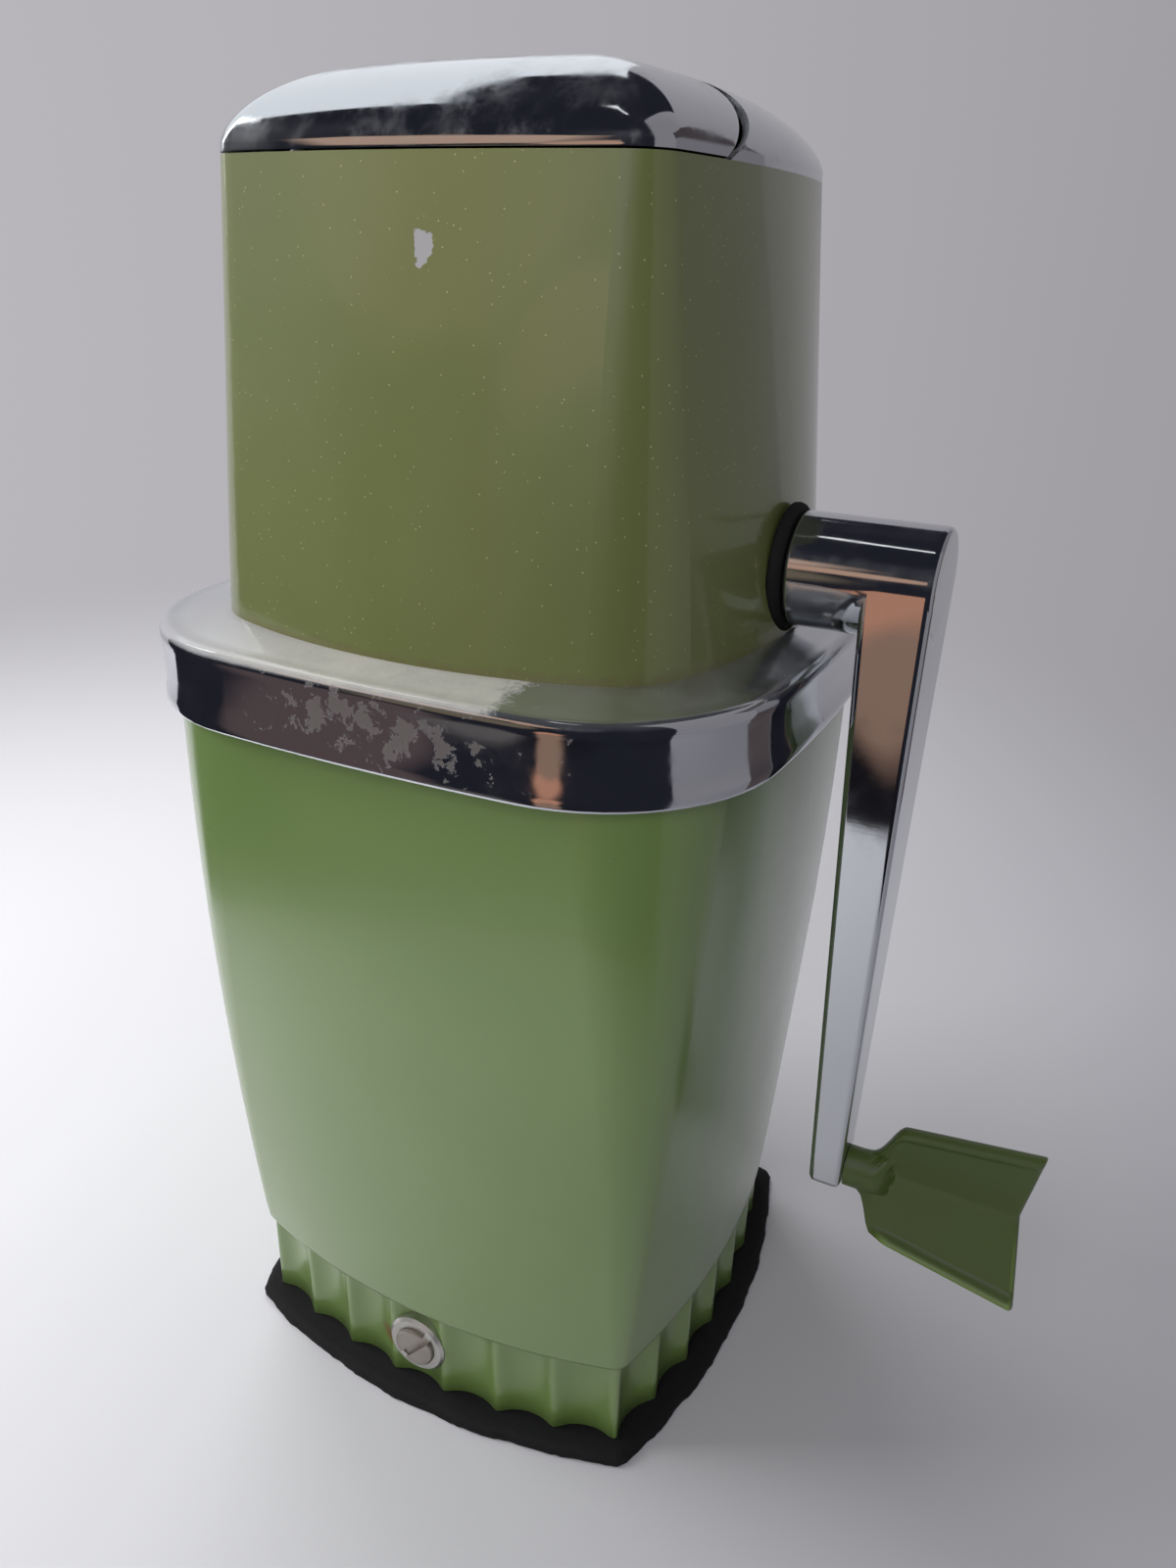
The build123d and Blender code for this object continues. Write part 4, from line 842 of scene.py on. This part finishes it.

# %% [markdown]
# ## Chromium plate
# Bright chromium over nickel is a mirror with a faint blue cast. Years of wiping
# leave hairlines and a haze of dust. On the collar, handling has worn the face
# through to the grey metal below in ragged patches, and a dried film dulls the
# ledge; its pale tone is partly painted reflection, and on the rolled top edge it is
# a painted highlight. The plain plate comes first, and the collar's wear and
# highlight are laid over it.

# %% Wear and painted highlight of the collar's plate
# Where the plate has flaked off, the metal is darker and less than fully metallic.
# The dried film lies only on faces that look up, and covers the plate like thin paint; on the rolled top edge it is
# also a painted highlight.
PLATE_COLOUR = "#d3d6da"


def collar_wear_and_highlight(tree, shader, spot, haze, facing):
    """Flakes round a place on the collar's front, and a film on its ledge and rolled top that is partly painted
    highlight.
    """
    fine = {"Scale": per(4.5), "Detail": 8, "Roughness": 0.7, "Distortion": 0.3}
    edge = add(tree, "TexNoise", fine, {"Vector": spot})
    where = add(tree, "VectorMath", {"operation": "SUBTRACT", 1: (0.006, -0.058, 0.1535)}, {0: spot})
    squeezed = add(tree, "VectorMath", {"operation": "MULTIPLY", 1: (0.4, 1, 1.5)}, {0: where})
    reach = add(tree, "VectorMath", {"operation": "LENGTH"}, {0: squeezed})
    flake_span = {"From Min": 0.002, "From Max": 0.02, "To Min": 0.19, "To Max": -0.1}
    near = add(tree, "MapRange", flake_span, {"Value": reach})
    both = add(tree, "Math", {"operation": "ADD"}, {0: near, 1: edge})
    flake = add(tree, "MapRange", {"From Min": 0.66, "From Max": 0.68}, {"Value": both})
    flaked = add(tree, "Mix", {"data_type": "RGBA", 6: PLATE_COLOUR, 7: "#77716f"}, {0: flake})
    # the film stops in a ragged line, short of the crank's corner
    axes = add(tree, "SeparateXYZ", links={0: spot})
    film_edge = add(tree, "Math", {"operation": "MULTIPLY_ADD", 1: -0.02}, {0: haze, 2: axes.outputs["X"]})
    film_span = {"From Min": 0.012, "From Max": 0.015, "To Min": 0.85, "To Max": 0.08}
    film_along = add(tree, "MapRange", film_span, {"Value": film_edge})
    # faces that look up get the film, which on the rolled top edge is a painted highlight
    faces_up_for_film_and_highlight = add(tree, "MapRange", {"From Min": 0.3, "From Max": 0.75}, {"Value": facing.outputs["Z"]})
    film_whole = add(tree, "Math", {"operation": "MULTIPLY"}, {0: film_along, 1: faces_up_for_film_and_highlight})
    patchy = add(tree, "MapRange", {"From Min": 0.3, "From Max": 0.6, "To Min": 0.7, "To Max": 1}, {"Value": haze})
    film_and_highlight = add(tree, "Math", {"operation": "MULTIPLY"}, {0: film_whole, 1: patchy})
    film_rise = add(tree, "MapRange", {"From Min": -0.06, "From Max": -0.02}, {"Value": film_edge})
    # the film's pale tone, greyer at the left end, stands partly for the pale sky mirrored in the ledge, as painted
    # reflection
    film_and_highlight_tone = add(tree, "Mix", {"data_type": "RGBA", 6: "#84858c", 7: "#b7b4a9"}, {0: film_rise})
    colour = add(tree, "Mix", {"data_type": "RGBA"}, {0: film_and_highlight, 6: flaked, 7: film_and_highlight_tone})
    bared = add(tree, "Math", {"operation": "MULTIPLY_ADD", 1: 0.6}, {0: flake, 2: film_and_highlight})
    plate = add(tree, "Math", {"operation": "SUBTRACT", 0: 1, "use_clamp": True}, {1: bared})
    feed(tree, shader, {"Base Color": colour, "Metallic": plate})


print("collar's plate is", PLATE_COLOUR, "where it is whole")

# %% Chrome plate
# A metal with a low roughness gives a sharp mirror; noise in the roughness gives
# the haze, and stretched noise in the bump gives the hairlines.


def chrome_plate(name, haze_amount, dust, wear_and_highlight=None):
    """Bright plate with haze, hairlines, dust where it looks up, and its own wear and painted highlight, if any."""
    made, tree, shader = new_material(name, PLATE_COLOUR, 1, 0.06)
    place = add(tree, "TexCoord")
    spot = place.outputs["Object"]
    haze = add(tree, "TexNoise", {"Scale": per(9), "Detail": 8, "Roughness": 0.75}, {"Vector": spot})
    haze_span = {"From Min": 0.45, "From Max": 0.75, "To Min": 0.05, "To Max": 0.05 + haze_amount}
    hazy = add(tree, "MapRange", haze_span, {"Value": haze})
    stretched = add(tree, "Mapping", {"Scale": (per(16), per(16), per(0.7))}, {"Vector": spot})
    fibres = {"Scale": 1, "Detail": 6, "Roughness": 0.7, "Distortion": 0.4}
    hairlines = add(tree, "TexNoise", fibres, {"Vector": stretched})
    bump = add(tree, "Bump", {"Strength": 0.05, "Distance": 0.03 * MM}, {"Height": hairlines})
    facing = add(tree, "SeparateXYZ", links={0: place.outputs["Normal"]})
    upward = {"From Min": 0.85, "From Max": 0.99, "To Max": dust}
    settled = add(tree, "MapRange", upward, {"Value": facing.outputs["Z"]})
    rough = add(tree, "Math", {"operation": "ADD"}, {0: hazy, 1: settled})
    feed(tree, shader, {"Roughness": rough, "Normal": bump})
    if wear_and_highlight:
        wear_and_highlight(tree, shader, spot, haze, facing)
    return made


lid_chrome = chrome_plate("chromium plate on the lid", 0.24, 0.06)
crank_chrome = chrome_plate("chromium plate on the crank", 0.1, 0.05)
collar_chrome = chrome_plate("worn chromium plate on the collar with painted highlight", 0.14, 0.13, collar_wear_and_highlight)
print("nodes in plain and worn plate:", len(lid_chrome.node_tree.nodes), len(collar_chrome.node_tree.nodes))

# %% Dark edges of the sheet, as painted shade
# The cut edges in the lid's seam are painted dark, as painted shade in the gap, so the seam reads as a dark line.
seam_painted_shade, tree, shader = new_material("sheet edge darkened as painted shade", "#34353a", 1, 0.35)
spot = add(tree, "TexCoord").outputs["Object"]
seam_mottle = add(tree, "TexNoise", {"Scale": per(1.5), "Detail": 4}, {"Vector": spot})
tint = add(tree, "Mix", {"data_type": "RGBA", 6: "#1c1c20", 7: "#5d5e64"}, {0: seam_mottle})
feed(tree, shader, {"Base Color": tint})
print("seam edge:", seam_painted_shade.name)

# %% [markdown]
# ## Rubber
# The foot and the gasket are black vulcanised rubber. It has hardly any highlight,
# so what shows is its grain: dust pressed into it, as a fine bump and a paler tone.

# %% Rubber
# Black vulcanised rubber: matt, gritty from dust pressed into it.


def black_rubber(name, colour, grit_mm, bump_mm):
    """Matt black rubber with grit of one size."""
    made, tree, shader = new_material(name, colour, 0, 0.8, IOR=1.52, Specular_IOR_Level=0.2)
    spot = add(tree, "TexCoord").outputs["Object"]
    grit = add(tree, "TexNoise", {"Scale": per(grit_mm), "Detail": 6, "Roughness": 0.7}, {"Vector": spot})
    dusty = add(tree, "Mix", {"data_type": "RGBA", 6: colour, 7: "#19191b"}, {0: grit})
    bump = add(tree, "Bump", {"Strength": 0.6, "Distance": bump_mm * MM}, {"Height": grit})
    feed(tree, shader, {"Base Color": dusty, "Normal": bump})
    return made


foot_rubber = black_rubber("vulcanised rubber foot", "#0c0c0d", 0.9, 0.25)
gasket_rubber = black_rubber("rubber gasket", "#0a0a0b", 0.8, 0.05)
print("rubbers:", foot_rubber.name, "and", gasket_rubber.name)

# %% [markdown]
# ## Metals of the works
# The parts inside come from the CAD, and show when the head is lifted or the lid is
# open. Each is a bare metal with its own tone, a cast or turned grain, and stains
# from years of melt water.

# %% Metals of the works
# Bare metal: the grain breaks up the highlight, and the stains dull its tone.


def bare_metal(name, colour, stain_colour, roughness, grain_mm, bump_mm):
    """A bare metal with a grain of one size and wide stains."""
    made, tree, shader = new_material(name, colour, 1, roughness)
    spot = add(tree, "TexCoord").outputs["Object"]
    grain = add(tree, "TexNoise", {"Scale": per(grain_mm), "Detail": 5, "Roughness": 0.65}, {"Vector": spot})
    stain = add(tree, "TexNoise", {"Scale": per(12), "Detail": 4}, {"Vector": spot})
    amount = add(tree, "MapRange", {"From Min": 0.4, "From Max": 0.75, "To Max": 0.8}, {"Value": stain})
    tint = add(tree, "Mix", {"data_type": "RGBA", 6: colour, 7: stain_colour}, {0: amount})
    rough = add(tree, "MapRange", {"To Min": roughness * 0.75, "To Max": min(roughness * 1.3, 1)}, {"Value": grain})
    bump = add(tree, "Bump", {"Strength": 0.5, "Distance": bump_mm * MM}, {"Height": grain})
    feed(tree, shader, {"Base Color": tint, "Roughness": rough, "Normal": bump})
    return made


cast_steel = bare_metal("cast stainless wheels", "#b9bbbd", "#8f8c88", 0.38, 1.2, 0.06)
zinc_sheet = bare_metal("zinc plated sheet", "#b4b8bc", "#93938d", 0.35, 2.5, 0.02)
frame_steel = bare_metal("zinc die casting", "#a9abad", "#86857f", 0.45, 1.5, 0.05)
screw_steel = bare_metal("nickel plated screw steel", "#c2c0ba", "#9a938a", 0.28, 0.8, 0.01)
stud_steel = bare_metal("turned steel bushing", "#cdccc8", "#a59c90", 0.34, 0.7, 0.02)
worn_stud = bare_metal("worn steel spindle", "#aaa39a", "#6f6256", 0.3, 0.7, 0.02)
bronze = bare_metal("sintered bronze", "#b48a55", "#7c5d3a", 0.42, 0.6, 0.03)
print("finishes made:", len(bpy.data.materials))

# %% [markdown]
# ## Who wears what
# One table says which piece or CAD node wears which finish. A name in quotes is a
# node carried from the CAD; the rest are the pieces made above. The halves of the
# lid have a second slot, for the cut edges of their sheet.

# %% Give every piece and node its finish
finishes = {
    enamel: ["upper_housing"],
    receptacle_plastic: [receptacle],
    grip_plastic: [paddle],
    lid_chrome: [flap, rear_cap],
    crank_chrome: [hub],
    collar_chrome: [collar],
    foot_rubber: [foot],
    gasket_rubber: [gasket],
    cast_steel: [*(f"crusher_wheel_{number}" for number in (1, 2, 3, 4)), "comb_front", "comb_rear"],
    zinc_sheet: ["base_plate", "feed_chute", "hinge_leaf_front", "hinge_leaf_rear"],
    frame_steel: ["crusher_frame", "wheel_spacers"],
    screw_steel: [
        "base_plate_screws", "collar_screws", "comb_screws", "rear_cap_screws", "cam_shaft_clip", "shaft_clip",
        "crank_set_screw", "hinge_pin", "grip_pin", "drive_shaft", "pull_stem",
    ],
    stud_steel: ["cam_bushing"],
    worn_stud: ["vacuum_cam_shaft"],
    bronze: ["bush_crank_side", "bush_far_side"],
}
for material, wearers in finishes.items():
    for wearer in wearers:
        if isinstance(wearer, str):
            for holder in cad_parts[wearer].material_slots:
                holder.material = material
        elif wearer.data.materials:
            wearer.data.materials[0] = material
        else:
            wearer.data.materials.append(material)
for half in (flap, rear_cap):
    half.data.materials[1] = seam_painted_shade
print("finished pieces:", sum(len(wearers) for wearers in finishes.values()))
